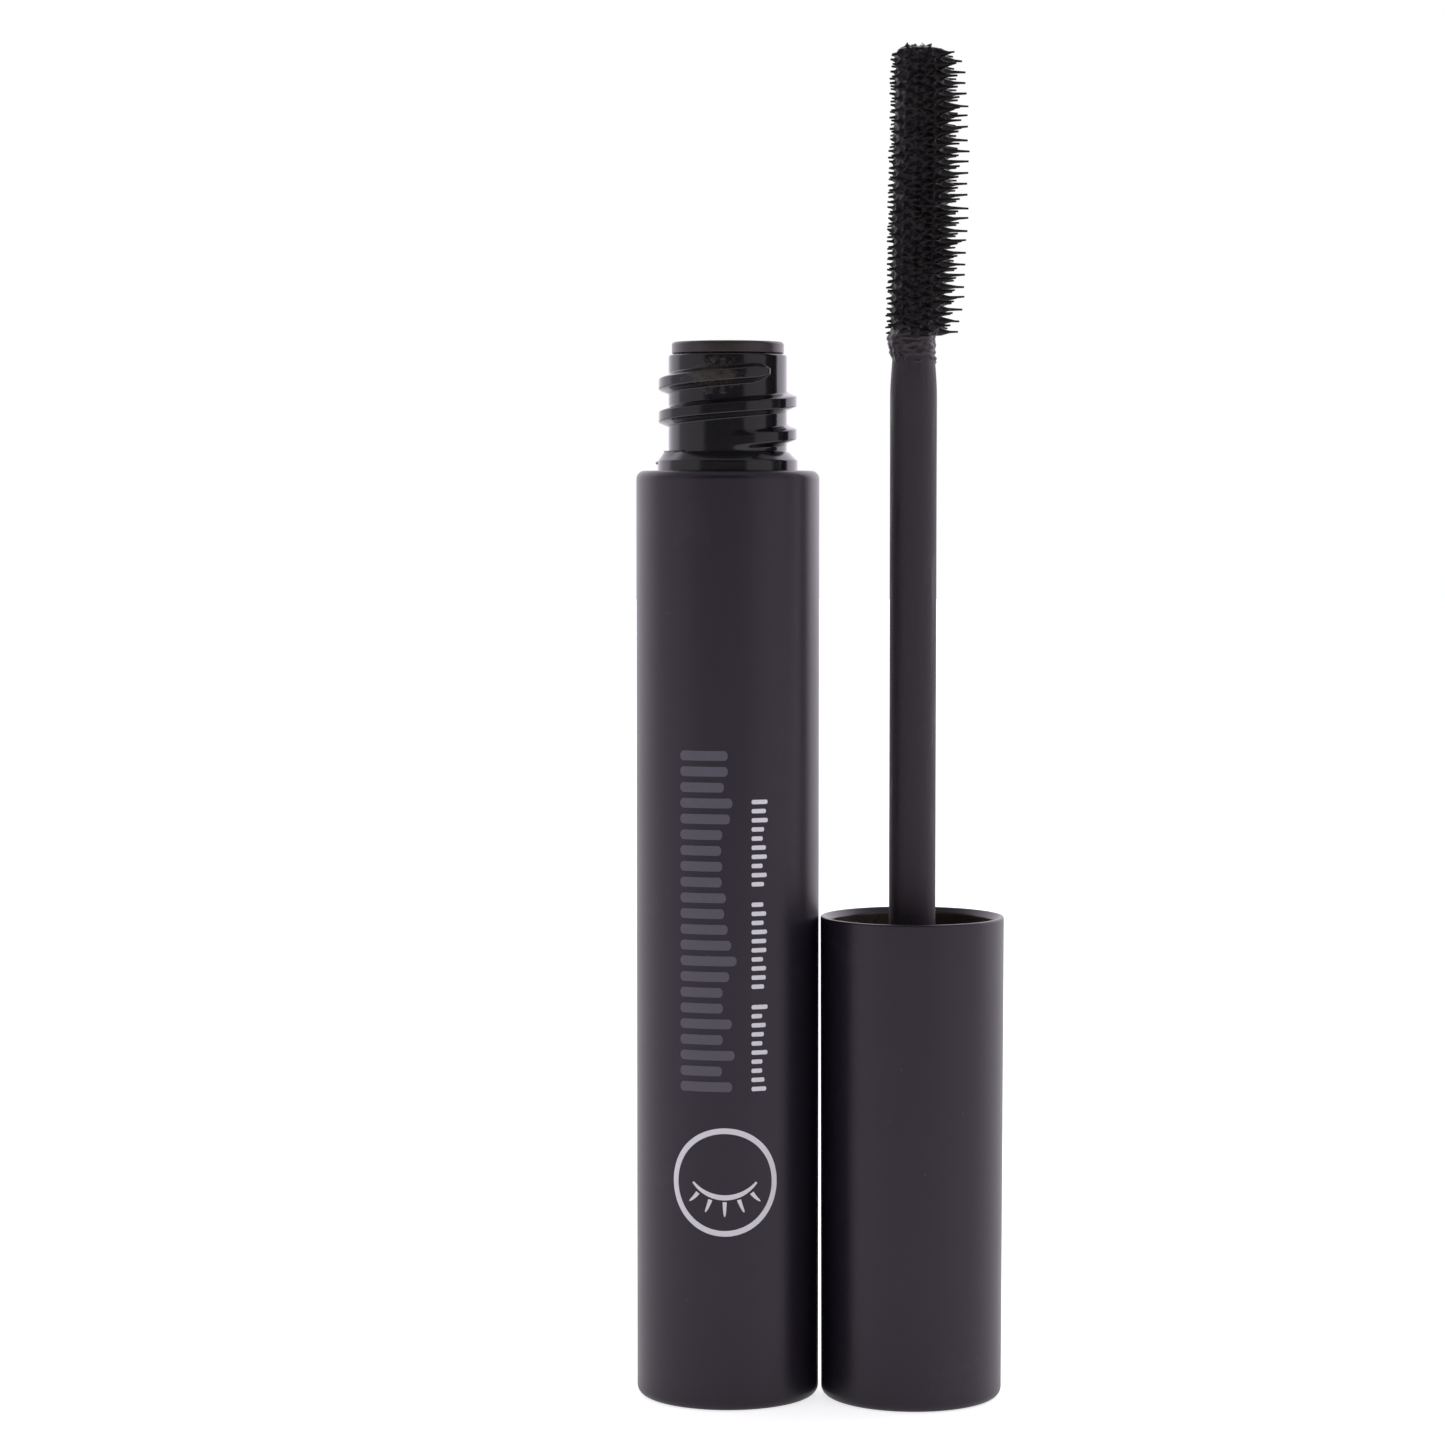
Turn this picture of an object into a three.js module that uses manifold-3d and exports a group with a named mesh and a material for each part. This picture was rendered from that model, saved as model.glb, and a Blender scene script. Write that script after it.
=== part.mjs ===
// An opened mascara tube. The bottle stands upright with its threaded neck and wiper bare, and
// the applicator stands beside it on its cap, with the stem and the moulded brush pointing up.
// Millimetres, +Z up. The origin is the centre of the footprint, on the surface both stand on.
import * as THREE from 'three';
import { mergeVertices } from 'three/addons/utils/BufferGeometryUtils.js';
import Module from 'manifold-3d';

const wasm = await Module();
wasm.setup();

// Overall sizes
const tubeDiameter = 18;
const tubeHeight = 91.55;
const capHeight = 47.7;
const brushLength = 28.5;
const stemDiameter = 4.6;

// How the two stand side by side
const standGap = 0.17;
const capForward = 0.8;

// Fits
const fitClearance = 0.1;
const runningClearance = 0.15;
const threadClearance = 0.28;
const shoulderGap = 0.2;
const sealGap = 0.05;

// Outer tube and its label
const tubeWall = 0.9;
const tubeFloor = 1.3;
const baseFillet = 0.9;
const rimRound = 0.8;
const labelInset = 2.4;
const labelRecess = 0.4;
const labelThickness = 0.15;

// Inner bottle
const bottleWall = 0.9;
const bottleFloor = 1;
const bottleChamfer = 0.4;
const reservoirChamfer = 0.6;
const reservoirSlope = 0.6;
const shoulderDrop = 0.35;
const shoulderThickness = 1.4;
const collarWidth = 1.07;
const collarHeight = 1.85;
const collarChamfer = 0.85;
const neckHeight = 11.35;
const neckWall = 1.25;
const threadDepth = 0.97;
const threadPitch = 3.2;
const threadTurns = 2.12;
const threadTopDrop = 1.7;
const threadRootWidth = 1.4;
const threadCrestWidth = 0.75;
const threadStart = 45;
const ridgeBite = 0.25;
const fadeSteps = 3;
const fadeFrom = 0.4;
const toothCount = 3;
const toothSpacing = 9;
const toothDepth = 0.2;
const toothDrop = 0.1;
const toothMiddle = 173;
const toothBack = 2.5;
const toothCrest = 1.2;
const toothBite = 0.3;
const lugStart = 186;
const lugTurn = 38;
const lugReach = 0.5;
const lugFall = 0.5;
const lugSunk = 0.1;
const lugRise = 0.08;

// Wiper
const wiperFlange = 1.15;
const rimChamfer = 0.25;
const wiperFlangeInset = 0.35;
const wiperWall = 0.7;
const wiperDepth = 10;
const lipLength = 4.2;
const lipThickness = 0.5;
const lipSqueeze = 0.1;
const lipLead = 0.3;
const lipRound = 0.5;

// Mascara paste
const pasteFill = 0.72;
const wellDiameter = 8.4;
const wellWall = 1;
const wellLip = 0.7;
const wellDip = 1.2;
const wellThroat = 3;
const wellRound = 1.5;

// Outer cap
const capOverhang = 0.05;
const capWall = 0.9;
const capFloor = 1.4;
const capDraft = 0.13;
const capChamfer = 0.5;
const capLedge = 0.55;

// Inner cap
const innerWall = 0.95;
const innerCapDrop = 2.2;
const innerSkirt = 23.4;
const partition = 1.6;
const innerThreadDepth = 0.67;
const innerThreadTurns = 1.1;
const socketWall = 1.25;
const socketDepth = 8;
const socketFloor = 1.4;
const mouthLead = 0.35;
const mouthLeadDepth = 0.5;

// Seal, stem and brush
const sealThickness = 1;
const stemWall = 0.95;
const stemTaper = 0.28;
const taperLength = 6;
const pegLength = 8;
const coreFloor = 4;
const coreCone = 1;
const tipGap = 4;
const coreDiameter = 3.7;
const brushLean = 0.87;
const spikeRows = 12;
const spikePitch = 1.1;
const spikeWidth = 0.36;
const firstSpike = 0.55;
const spikesBelowTip = 1.5;
const brushSeat = 0.05;
const brushShoulder = 0.7;
const shoulderCone = 0.3;
const tipChamfer = 0.7;
const spikeBite = 0.3;
const longReach = 5.05;
const shortReach = 2.72;
const combSharpness = 3.5;
const combBulge = 0.9;

// Roundness of the turned surfaces
const bigSides = 48;
const smallSides = 32;
const filletSteps = 3;
const threadStep = 15;

// What follows from them, for the bottle
const tubeRadius = tubeDiameter / 2;
const tubeBore = tubeRadius - tubeWall;
const capRadius = tubeRadius + capOverhang;
const capBore = capRadius - capWall;
const innerCapRadius = capBore - fitClearance;
const threadBore = innerCapRadius - innerWall;
const neckThreadRadius = threadBore - threadClearance;
const neckRadius = neckThreadRadius - threadDepth;
const neckBore = neckRadius - neckWall;
const neckTop = tubeHeight + neckHeight;
const wiperTop = neckTop + fitClearance + wiperFlange;
const bottleRadius = tubeBore - fitClearance;
const bottleBottom = tubeFloor + fitClearance;
const reservoirRadius = bottleRadius - bottleWall;
const reservoirFloor = bottleBottom + bottleFloor;
const shoulderTop = tubeHeight - shoulderDrop;
const reservoirTop = shoulderTop - shoulderThickness;
const stemRadius = stemDiameter / 2;

// and for the applicator, whose heights run from the closed end of its cap
const closedLength = tubeHeight + shoulderGap + capHeight;
const sealFace = closedLength - wiperTop - sealGap;
const partitionTop = sealFace - sealThickness - fitClearance;
const socketBottom = partitionTop - socketDepth;
const innerCapTop = capHeight - innerCapDrop;
const innerCapBottom = innerCapTop - innerSkirt;
const brushTip = closedLength - reservoirFloor - tipGap;
const brushRoot = brushTip - brushLength;
const pegRadius = stemRadius - stemWall - fitClearance;

const standSpacing = tubeRadius + capRadius + standGap;
const standAcross = Math.sqrt(standSpacing ** 2 - capForward ** 2);

function turn(profile, sides = bigSides) {
  const outline = profile.map(([radius, z]) => new THREE.Vector2(radius, z));
  return new THREE.LatheGeometry(outline, sides).rotateX(Math.PI / 2);
}

function quarter(centreRadius, centreZ, radius, fromDegrees) {
  const points = [];
  for (let step = 0; step <= filletSteps; step += 1) {
    const angle = THREE.MathUtils.degToRad(fromDegrees + (90 * step) / filletSteps);
    points.push([centreRadius + radius * Math.cos(angle), centreZ + radius * Math.sin(angle)]);
  }
  return points;
}

function meshFrom(positions, triangles) {
  const geometry = new THREE.BufferGeometry();
  geometry.setAttribute('position', new THREE.Float32BufferAttribute(positions, 3));
  geometry.setIndex(triangles);
  return geometry;
}

function toSolid(geometry) {
  const bare = geometry.clone();
  bare.deleteAttribute('normal');
  bare.deleteAttribute('uv');
  const merged = mergeVertices(bare, 1e-4);
  return new wasm.Manifold(new wasm.Mesh({
    numProp: 3,
    vertProperties: new Float32Array(merged.attributes.position.array),
    triVerts: new Uint32Array(merged.index.array),
  }));
}

function fromSolid(solid) {
  const { vertProperties, triVerts } = solid.getMesh();
  return meshFrom(vertProperties, Array.from(triVerts));
}

// A right-handed ridge wound on a cylinder. A negative depth makes it stand inwards.
// The ends fade into the wall over an eighth of a turn.
function threadRidge({ radius, depth, turns, angle, z }) {
  const root = radius - Math.sign(depth) * ridgeBite;
  const steps = Math.round((turns * 360) / threadStep);
  const positions = [];
  for (let step = 0; step <= steps; step += 1) {
    const part = step / steps;
    const turned = THREE.MathUtils.degToRad(angle + part * turns * 360);
    const height = z + part * turns * threadPitch;
    const fade = Math.min(1, (fadeFrom + Math.min(step, steps - step)) / fadeSteps);
    const crest = radius + depth * fade;
    const corners = [
      [root, -threadRootWidth / 2 * fade],
      [crest, -threadCrestWidth / 2 * fade],
      [crest, threadCrestWidth / 2 * fade],
      [root, threadRootWidth / 2 * fade],
    ];
    for (const [reach, rise] of corners) {
      positions.push(reach * Math.cos(turned), reach * Math.sin(turned), height + rise);
    }
  }
  const triangles = [];
  for (let step = 0; step < steps; step += 1) {
    for (let corner = 0; corner < 4; corner += 1) {
      const a = step * 4 + corner;
      const b = step * 4 + (corner + 1) % 4;
      triangles.push(a, a + 4, b, b, a + 4, b + 4);
    }
  }
  const last = steps * 4;
  triangles.push(0, 1, 2, 0, 2, 3, last, last + 2, last + 1, last, last + 3, last + 2);
  if (depth < 0) {
    triangles.reverse();
  }
  return meshFrom(positions, triangles);
}

function outerTube() {
  const labelRadius = tubeRadius - labelInset;
  return turn([
    [0, labelRecess],
    [labelRadius, labelRecess],
    [labelRadius, 0],
    ...quarter(tubeRadius - baseFillet, baseFillet, baseFillet, -90),
    ...quarter(tubeRadius - rimRound, tubeHeight - rimRound, rimRound, 0),
    [tubeBore, tubeHeight],
    [tubeBore, tubeFloor],
    [0, tubeFloor],
  ]);
}

function baseLabel() {
  const radius = tubeRadius - labelInset - fitClearance;
  const top = labelRecess - fitClearance;
  return turn([
    [0, top - labelThickness],
    [radius, top - labelThickness],
    [radius, top],
    [0, top],
  ], smallSides);
}

// A few small ratchet teeth on the collar's left, and a stop lug above it.
function collarStops(radius, bottom, edge, top) {
  const positions = [];
  const triangles = [];
  function addWedge(corners, low, high) {
    const first = positions.length / 3;
    for (const z of [low, high]) {
      for (const [reach, degrees] of corners) {
        const turned = THREE.MathUtils.degToRad(degrees);
        positions.push(reach * Math.cos(turned), reach * Math.sin(turned), z);
      }
    }
    const sides = corners.length;
    for (let corner = 0; corner < sides; corner += 1) {
      const next = (corner + 1) % sides;
      triangles.push(first + corner, first + next, first + sides + next);
      triangles.push(first + corner, first + sides + next, first + sides + corner);
    }
    for (let corner = 2; corner < sides; corner += 1) {
      triangles.push(first, first + corner, first + corner - 1);
      triangles.push(first + sides, first + sides + corner - 1, first + sides + corner);
    }
  }
  for (let tooth = 0; tooth < toothCount; tooth += 1) {
    const angle = toothMiddle + (tooth - (toothCount - 1) / 2) * toothSpacing;
    const corners = [
      [radius - toothBite, angle - toothBack],
      [radius + toothDepth, angle + toothCrest],
      [radius - toothBite, angle + toothBack],
    ];
    addWedge(corners, bottom, edge - toothDrop);
  }
  const lug = [];
  for (const part of [0, 0.25, 0.5, 0.75, 1]) {
    lug.push([neckRadius + lugReach * (1 - lugFall * part), lugStart + part * lugTurn]);
  }
  for (const part of [1, 0.5, 0]) {
    lug.push([neckRadius - toothBite, lugStart + part * lugTurn]);
  }
  addWedge(lug, edge - lugSunk, top + lugRise);
  return meshFrom(positions, triangles);
}

function innerBottle() {
  const collarRadius = neckRadius + collarWidth;
  const collarTop = tubeHeight + collarHeight;
  const collarEdge = collarTop - collarChamfer;
  const body = turn([
    [0, bottleBottom],
    [bottleRadius - bottleChamfer, bottleBottom],
    [bottleRadius, bottleBottom + bottleChamfer],
    [bottleRadius, shoulderTop],
    [collarRadius, shoulderTop],
    [collarRadius, collarEdge],
    [collarRadius - collarChamfer, collarTop],
    [neckRadius, collarTop],
    [neckRadius, neckTop - rimChamfer],
    [neckRadius - rimChamfer, neckTop],
    [neckBore, neckTop],
    [neckBore, reservoirTop],
    [reservoirRadius, reservoirTop - (reservoirRadius - neckBore) * reservoirSlope],
    [reservoirRadius, reservoirFloor + reservoirChamfer],
    [reservoirRadius - reservoirChamfer, reservoirFloor],
    [0, reservoirFloor],
  ]);
  const ridge = threadRidge({
    radius: neckRadius,
    depth: threadDepth,
    turns: threadTurns,
    angle: -threadStart - threadTurns * 360,
    z: neckTop - threadTopDrop - threadTurns * threadPitch,
  });
  const stops = collarStops(collarRadius, shoulderTop - toothBite, collarEdge, collarTop);
  return fromSolid(toSolid(body).add(toSolid(ridge)).add(toSolid(stops)));
}

function wiper() {
  const body = neckBore - fitClearance;
  const throat = body - wiperWall;
  const flange = neckRadius - wiperFlangeInset;
  const seat = neckTop + fitClearance;
  const lipTop = neckTop - wiperDepth;
  const orifice = stemRadius - lipSqueeze;
  return turn([
    [orifice, lipTop - lipLength],
    [orifice + lipThickness, lipTop - lipLength],
    [body - lipLead, lipTop],
    [body, lipTop + 2 * lipLead],
    [body, seat],
    [flange, seat],
    [flange, wiperTop - rimChamfer],
    [flange - rimChamfer, wiperTop],
    [throat, wiperTop],
    [throat, lipTop + lipLead],
    [orifice, lipTop - lipLength + lipRound],
    [orifice, lipTop - lipLength],
  ], smallSides);
}

function mascaraPaste() {
  const radius = reservoirRadius - fitClearance;
  const bottom = reservoirFloor + fitClearance;
  const top = reservoirFloor + (reservoirTop - reservoirFloor) * pasteFill;
  const well = Math.min(wellDiameter / 2, radius - wellWall);
  const wellFloor = bottom + tipGap / 2;
  return turn([
    [0, bottom],
    [radius - reservoirChamfer, bottom],
    [radius, bottom + reservoirChamfer],
    [radius, top],
    [well + wellLip, top - wellDip],
    [well, top - wellThroat],
    [well, wellFloor + wellRound],
    [well - wellRound, wellFloor],
    [0, wellFloor],
  ], smallSides);
}

function outerCap() {
  const endRadius = capRadius - capDraft;
  return turn([
    [0, 0],
    ...quarter(endRadius - baseFillet, baseFillet, baseFillet, -90),
    [capRadius, capHeight - rimChamfer],
    [capRadius - rimChamfer, capHeight],
    [capBore + capChamfer, capHeight],
    [capBore, capHeight - capChamfer],
    [capBore, innerCapBottom - fitClearance],
    [capBore - capLedge, innerCapBottom - fitClearance],
    [capBore - capLedge, capFloor],
    [0, capFloor],
  ]);
}

// The cap's ridge runs midway between the turns of the neck's when the tube is closed. Turned
// end over end about Y, a height z on the bottle is closedLength - z on the cap, and an angle a
// is 180 - a, so the ridge stays right-handed.
function innerCap() {
  const skirtBore = innerCapRadius - innerWall;
  const bossRadius = stemRadius + fitClearance + socketWall;
  const partitionBottom = partitionTop - partition;
  const body = turn([
    [0, socketBottom - socketFloor],
    [bossRadius, socketBottom - socketFloor],
    [bossRadius, partitionBottom],
    [skirtBore, partitionBottom],
    [skirtBore, innerCapBottom],
    [innerCapRadius, innerCapBottom],
    [innerCapRadius, innerCapTop],
    [threadBore + mouthLead, innerCapTop],
    [threadBore, innerCapTop - mouthLeadDepth],
    [threadBore, partitionTop],
    [stemRadius + fitClearance, partitionTop],
    [stemRadius + fitClearance, socketBottom],
    [0, socketBottom],
  ]);
  const engagedZ = neckTop - threadTopDrop - threadPitch / 2;
  const ridge = threadRidge({
    radius: threadBore,
    depth: -innerThreadDepth,
    turns: innerThreadTurns,
    angle: 180 + threadStart,
    z: closedLength - engagedZ,
  });
  return fromSolid(toSolid(body).add(toSolid(ridge)));
}

function sealWasher() {
  const inner = stemRadius + runningClearance;
  const outer = threadBore - innerThreadDepth - runningClearance;
  return turn([
    [inner, sealFace - sealThickness],
    [outer, sealFace - sealThickness],
    [outer, sealFace],
    [inner, sealFace],
    [inner, sealFace - sealThickness],
  ], smallSides);
}

// A rod cored out from the cap's end, with a blind socket for the brush at the other.
function stem() {
  const foot = socketBottom + fitClearance;
  const core = stemRadius - stemWall;
  const pegFloor = brushRoot - pegLength - fitClearance;
  return turn([
    [0, pegFloor - coreFloor],
    [core, pegFloor - coreFloor - coreCone],
    [core, foot],
    [stemRadius - rimChamfer, foot],
    [stemRadius, foot + rimChamfer],
    [stemRadius, brushRoot - taperLength],
    [stemRadius - stemTaper, brushRoot],
    [pegRadius + fitClearance, brushRoot],
    [pegRadius + fitClearance, pegFloor],
    [0, pegFloor],
  ], smallSides);
}

// How far a spike's tip is from the core's axis: long on one side as a comb, short behind it,
// and a little shorter towards both ends of the comb.
function spikeTip(angle, along) {
  const facing = ((1 + Math.cos(angle)) / 2) ** combSharpness;
  const bulge = combBulge * facing * (2 * along - 1) ** 4;
  return shortReach + (longReach - shortReach) * facing - bulge;
}

function brush() {
  const coreRadius = coreDiameter / 2;
  const shoulder = stemRadius - stemTaper - brushSeat;
  const coreSides = spikeRows * 2;
  const core = turn([
    [0, brushRoot - pegLength],
    [pegRadius, brushRoot - pegLength],
    [pegRadius, brushRoot + fitClearance],
    [shoulder, brushRoot + fitClearance],
    [shoulder, brushRoot + brushShoulder],
    [coreRadius, brushRoot + brushShoulder + shoulderCone],
    [coreRadius, brushTip - tipChamfer],
    [coreRadius - tipChamfer, brushTip],
    [0, brushTip],
  ], coreSides);
  const positions = [];
  const triangles = [];
  const base = coreRadius - spikeBite;
  const spikesInRow = Math.floor((brushLength - firstSpike - spikesBelowTip) / spikePitch) + 1;
  for (let row = 0; row < spikeRows; row += 1) {
    const angle = (row * 2 * Math.PI) / spikeRows;
    const stagger = (row % 2) * spikePitch / 2;
    for (let spike = 0; spike < spikesInRow; spike += 1) {
      const z = brushRoot + firstSpike + stagger + spike * spikePitch;
      const tip = spikeTip(angle, (spike + 0.5) / spikesInRow);
      const first = positions.length / 3;
      for (const [reach, aside, rise] of [[base, -1, 0], [base, 0, -1], [base, 1, 0], [base, 0, 1], [tip, 0, 0]]) {
        const x = reach * Math.cos(angle) - aside * spikeWidth / 2 * Math.sin(angle);
        const y = reach * Math.sin(angle) + aside * spikeWidth / 2 * Math.cos(angle);
        positions.push(x, y, z + rise * spikeWidth / 2);
      }
      for (const corner of [0, 1, 4, 1, 2, 4, 2, 3, 4, 3, 0, 4, 0, 2, 1, 0, 3, 2]) {
        triangles.push(first + corner);
      }
    }
  }
  const geometry = fromSolid(toSolid(core).add(toSolid(meshFrom(positions, triangles))));
  const lean = Math.tan(THREE.MathUtils.degToRad(brushLean));
  const place = geometry.attributes.position;
  for (let point = 0; point < place.count; point += 1) {
    const above = Math.max(0, place.getZ(point) - brushRoot - fitClearance);
    place.setX(point, place.getX(point) + above * lean);
  }
  return geometry;
}

function plastic(color, roughness) {
  return new THREE.MeshStandardMaterial({ color, roughness, metalness: 0 });
}

const softTouch = plastic('#2f2b32', 0.62);
const glossBlack = plastic('#17151a', 0.16);
const wiperBlack = plastic('#2a2322', 0.4);
const pasteBlack = plastic('#0e0b0c', 0.3);
const labelSilver = plastic('#b9b9bd', 0.45);
const sealGrey = plastic('#56524f', 0.7);
const stemBlack = plastic('#302b31', 0.45);
const brushBlack = plastic('#1c1719', 0.5);

function piece(name, geometry, material) {
  const mesh = new THREE.Mesh(geometry, material);
  mesh.name = name;
  return mesh;
}

const bottle = new THREE.Group();
bottle.add(piece('outer_tube', outerTube(), softTouch));
bottle.add(piece('base_label', baseLabel(), labelSilver));
bottle.add(piece('inner_bottle', innerBottle(), glossBlack));
bottle.add(piece('wiper', wiper(), wiperBlack));
bottle.add(piece('mascara_paste', mascaraPaste(), pasteBlack));

const applicator = new THREE.Group();
applicator.add(piece('outer_cap', outerCap(), softTouch));
applicator.add(piece('inner_cap', innerCap(), glossBlack));
applicator.add(piece('seal_washer', sealWasher(), sealGrey));
applicator.add(piece('stem', stem(), stemBlack));
applicator.add(piece('brush', brush(), brushBlack));

const bottleX = -(standAcross + capRadius - tubeRadius) / 2;
const bottleY = (capForward + capRadius - tubeRadius) / 2;
bottle.position.set(bottleX, bottleY, 0);
applicator.position.set(bottleX + standAcross, bottleY - capForward, 0);

const mascaraTube = new THREE.Group();
mascaraTube.add(bottle, applicator);

export default mascaraTube;
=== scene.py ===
import math
import random
from functools import partial

import bpy
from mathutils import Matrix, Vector, noise


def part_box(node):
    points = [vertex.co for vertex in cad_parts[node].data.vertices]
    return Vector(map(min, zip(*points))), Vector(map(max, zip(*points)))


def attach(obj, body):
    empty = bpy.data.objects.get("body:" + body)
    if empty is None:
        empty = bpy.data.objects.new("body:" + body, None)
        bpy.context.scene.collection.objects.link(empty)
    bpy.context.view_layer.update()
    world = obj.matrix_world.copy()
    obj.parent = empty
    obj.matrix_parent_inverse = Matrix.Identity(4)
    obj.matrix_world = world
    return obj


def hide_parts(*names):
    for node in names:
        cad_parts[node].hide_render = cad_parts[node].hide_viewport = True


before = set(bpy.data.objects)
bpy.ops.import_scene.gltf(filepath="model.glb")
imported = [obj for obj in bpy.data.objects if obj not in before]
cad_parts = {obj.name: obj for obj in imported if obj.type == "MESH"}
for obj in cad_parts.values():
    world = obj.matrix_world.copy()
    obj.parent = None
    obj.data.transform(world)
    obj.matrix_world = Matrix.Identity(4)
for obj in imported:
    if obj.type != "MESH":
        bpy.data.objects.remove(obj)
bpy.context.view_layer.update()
mm = 0.001
print("frame loaded:", ", ".join(sorted(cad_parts)))


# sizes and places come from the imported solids, in mm
def boxOf(node):
    low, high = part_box(node)
    return low / mm, high / mm


# where a solid begins and ends upwards, and half its width
def spanOf(node):
    low, high = boxOf(node)
    return low.z, high.z, (high.x - low.x) / 2


def axisOf(node):
    low, high = boxOf(node)
    return Vector(((low.x + high.x) / 2, (low.y + high.y) / 2, 0))


bottleAxis = axisOf("outer_tube")
applicatorAxis = axisOf("outer_cap")
tubeHeight, tubeRadius = spanOf("outer_tube")[1:]


def plug(tree, socket, value):
    if isinstance(value, bpy.types.NodeSocket):
        tree.links.new(value, socket)
    else:
        socket.default_value = value


def put(tree, kind, plugs=None, **settings):
    node = tree.nodes.new(kind)
    for name, value in settings.items():
        setattr(node, name, value)
    for key, value in (plugs or {}).items():
        plug(tree, node.inputs[key], value)
    return node


def calc(tree, operation, *terms):
    node = put(tree, "ShaderNodeMath", operation=operation)
    for socket, term in zip(node.inputs, terms):
        plug(tree, socket, term)
    return node.outputs[0]


# plain sums for a tree, so that its formulas stay readable
def sumsFor(tree, *operations):
    return [partial(calc, tree, operation) for operation in operations]


# an input is given by its starting value, or by the name of its kind where it has none
def newGroup(name, kind, inputs, outputs):
    tree = bpy.data.node_groups.new(name, kind)
    kinds = {int: "Int", float: "Float", tuple: "Vector"}
    for label, value in inputs.items():
        sort = value if isinstance(value, str) else kinds[type(value)]
        socket = tree.interface.new_socket(label, in_out="INPUT", socket_type="NodeSocket" + sort)
        if sort != value:
            socket.default_value = value
    for label, sort in outputs.items():
        tree.interface.new_socket(label, in_out="OUTPUT", socket_type="NodeSocket" + sort)
    return tree, tree.nodes.new("NodeGroupInput").outputs, tree.nodes.new("NodeGroupOutput").inputs


def smooth(value):
    value = min(1, max(0, value))
    return value * value * (3 - 2 * value)


# corners are (radius, height, fillet); a fillet is an arc that starts that far back from its corner
def filleted(corners, steps=5, guard=0.05):
    outline = []
    for index, (radius, height, fillet) in enumerate(corners):
        here = Vector((radius, height))
        if not fillet:
            outline.append(here)
            continue
        before = Vector(corners[index - 1][:2]) - here
        after = Vector(corners[(index + 1) % len(corners)][:2]) - here
        back = before.normalized() * fillet
        on = after.normalized() * fillet
        if before.length > fillet + 3 * guard:
            outline.append(here + before.normalized() * (fillet + guard))
        for step in range(steps + 1):
            sweep = math.pi / 2 * step / steps
            outline.append(here + on * (1 - math.cos(sweep)) + back * (1 - math.sin(sweep)))
        if after.length > fillet + 3 * guard:
            outline.append(here + after.normalized() * (fillet + guard))
    return [(point.x, point.y) for point in outline]


# turns an outline that runs up the outside and down the inside; shape(angle, radius, height) may move it
def turned(outline, axis, sides, shape=None):
    points = []
    rows = []
    for radius, height in outline:
        if radius < 1e-6:
            rows.append([len(points)] * sides)
            points.append(axis + Vector((0, 0, height)))
            continue
        rows.append(list(range(len(points), len(points) + sides)))
        for side in range(sides):
            angle = 2 * math.pi * side / sides
            reach = shape(angle, radius, height) if shape else radius
            points.append(axis + Vector((reach * math.cos(angle), reach * math.sin(angle), height)))
    if outline[0][0] > 1e-6:
        rows.append(rows[0])
    faces = []
    for low, high in zip(rows, rows[1:]):
        for side in range(sides):
            after = (side + 1) % sides
            face = [low[side], low[after], high[after], high[side]]
            faces.append([p for place, p in enumerate(face) if p not in face[:place]])
    return points, faces


def makePiece(name, points, faces, materials, body, slot, node=None, sharp=38, pick=None):
    mesh = bpy.data.meshes.new(name)
    mesh.from_pydata([point * mm for point in points], [], faces)
    finishPiece(name, mesh, materials, body, node, sharp)
    if pick:
        for polygon in mesh.polygons:
            polygon.material_index = pick(polygon.center / mm)
    return mesh


def finishPiece(name, mesh, materials, body, node=None, sharp=38):
    if materials:
        mesh.materials.clear()
        for material in materials:
            mesh.materials.append(material)
    mesh.polygons.foreach_set("use_smooth", [True] * len(mesh.polygons))
    mesh.set_sharp_from_angle(angle=math.radians(sharp))
    piece = bpy.data.objects.new(name, mesh)
    bpy.context.scene.collection.objects.link(piece)
    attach(piece, body)
    if node:
        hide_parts(node)
    return piece


def makeTurned(name, outline, axis, sides, *rest, form=None, place=None, **options):
    points, faces = turned(outline, axis, sides, form)
    makePiece(name, [place(point) for point in points] if place else points, faces, *rest, **options)


def randomValue(tree, low, high, seed, kind="FLOAT"):
    node = put(tree, "FunctionNodeRandomValue", {"Min": low, "Max": high, "Seed": seed}, data_type=kind)
    return next(socket for socket in node.outputs if socket.enabled)


# runs a Geometry Nodes tree once and gives back its result as a plain mesh
def grow(name, tree, values):
    holder = bpy.data.objects.new(name + "Source", bpy.data.meshes.new(name + "Source"))
    bpy.context.scene.collection.objects.link(holder)
    modifier = holder.modifiers.new("grow", "NODES")
    modifier.node_group = tree
    for item in tree.interface.items_tree:
        if item.item_type == "SOCKET" and item.in_out == "INPUT" and item.name in values:
            modifier[item.identifier] = values[item.name]
    ready = holder.evaluated_get(bpy.context.evaluated_depsgraph_get())
    mesh = bpy.data.meshes.new_from_object(ready)
    bpy.data.objects.remove(holder)
    mesh.name = name
    return mesh


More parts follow.
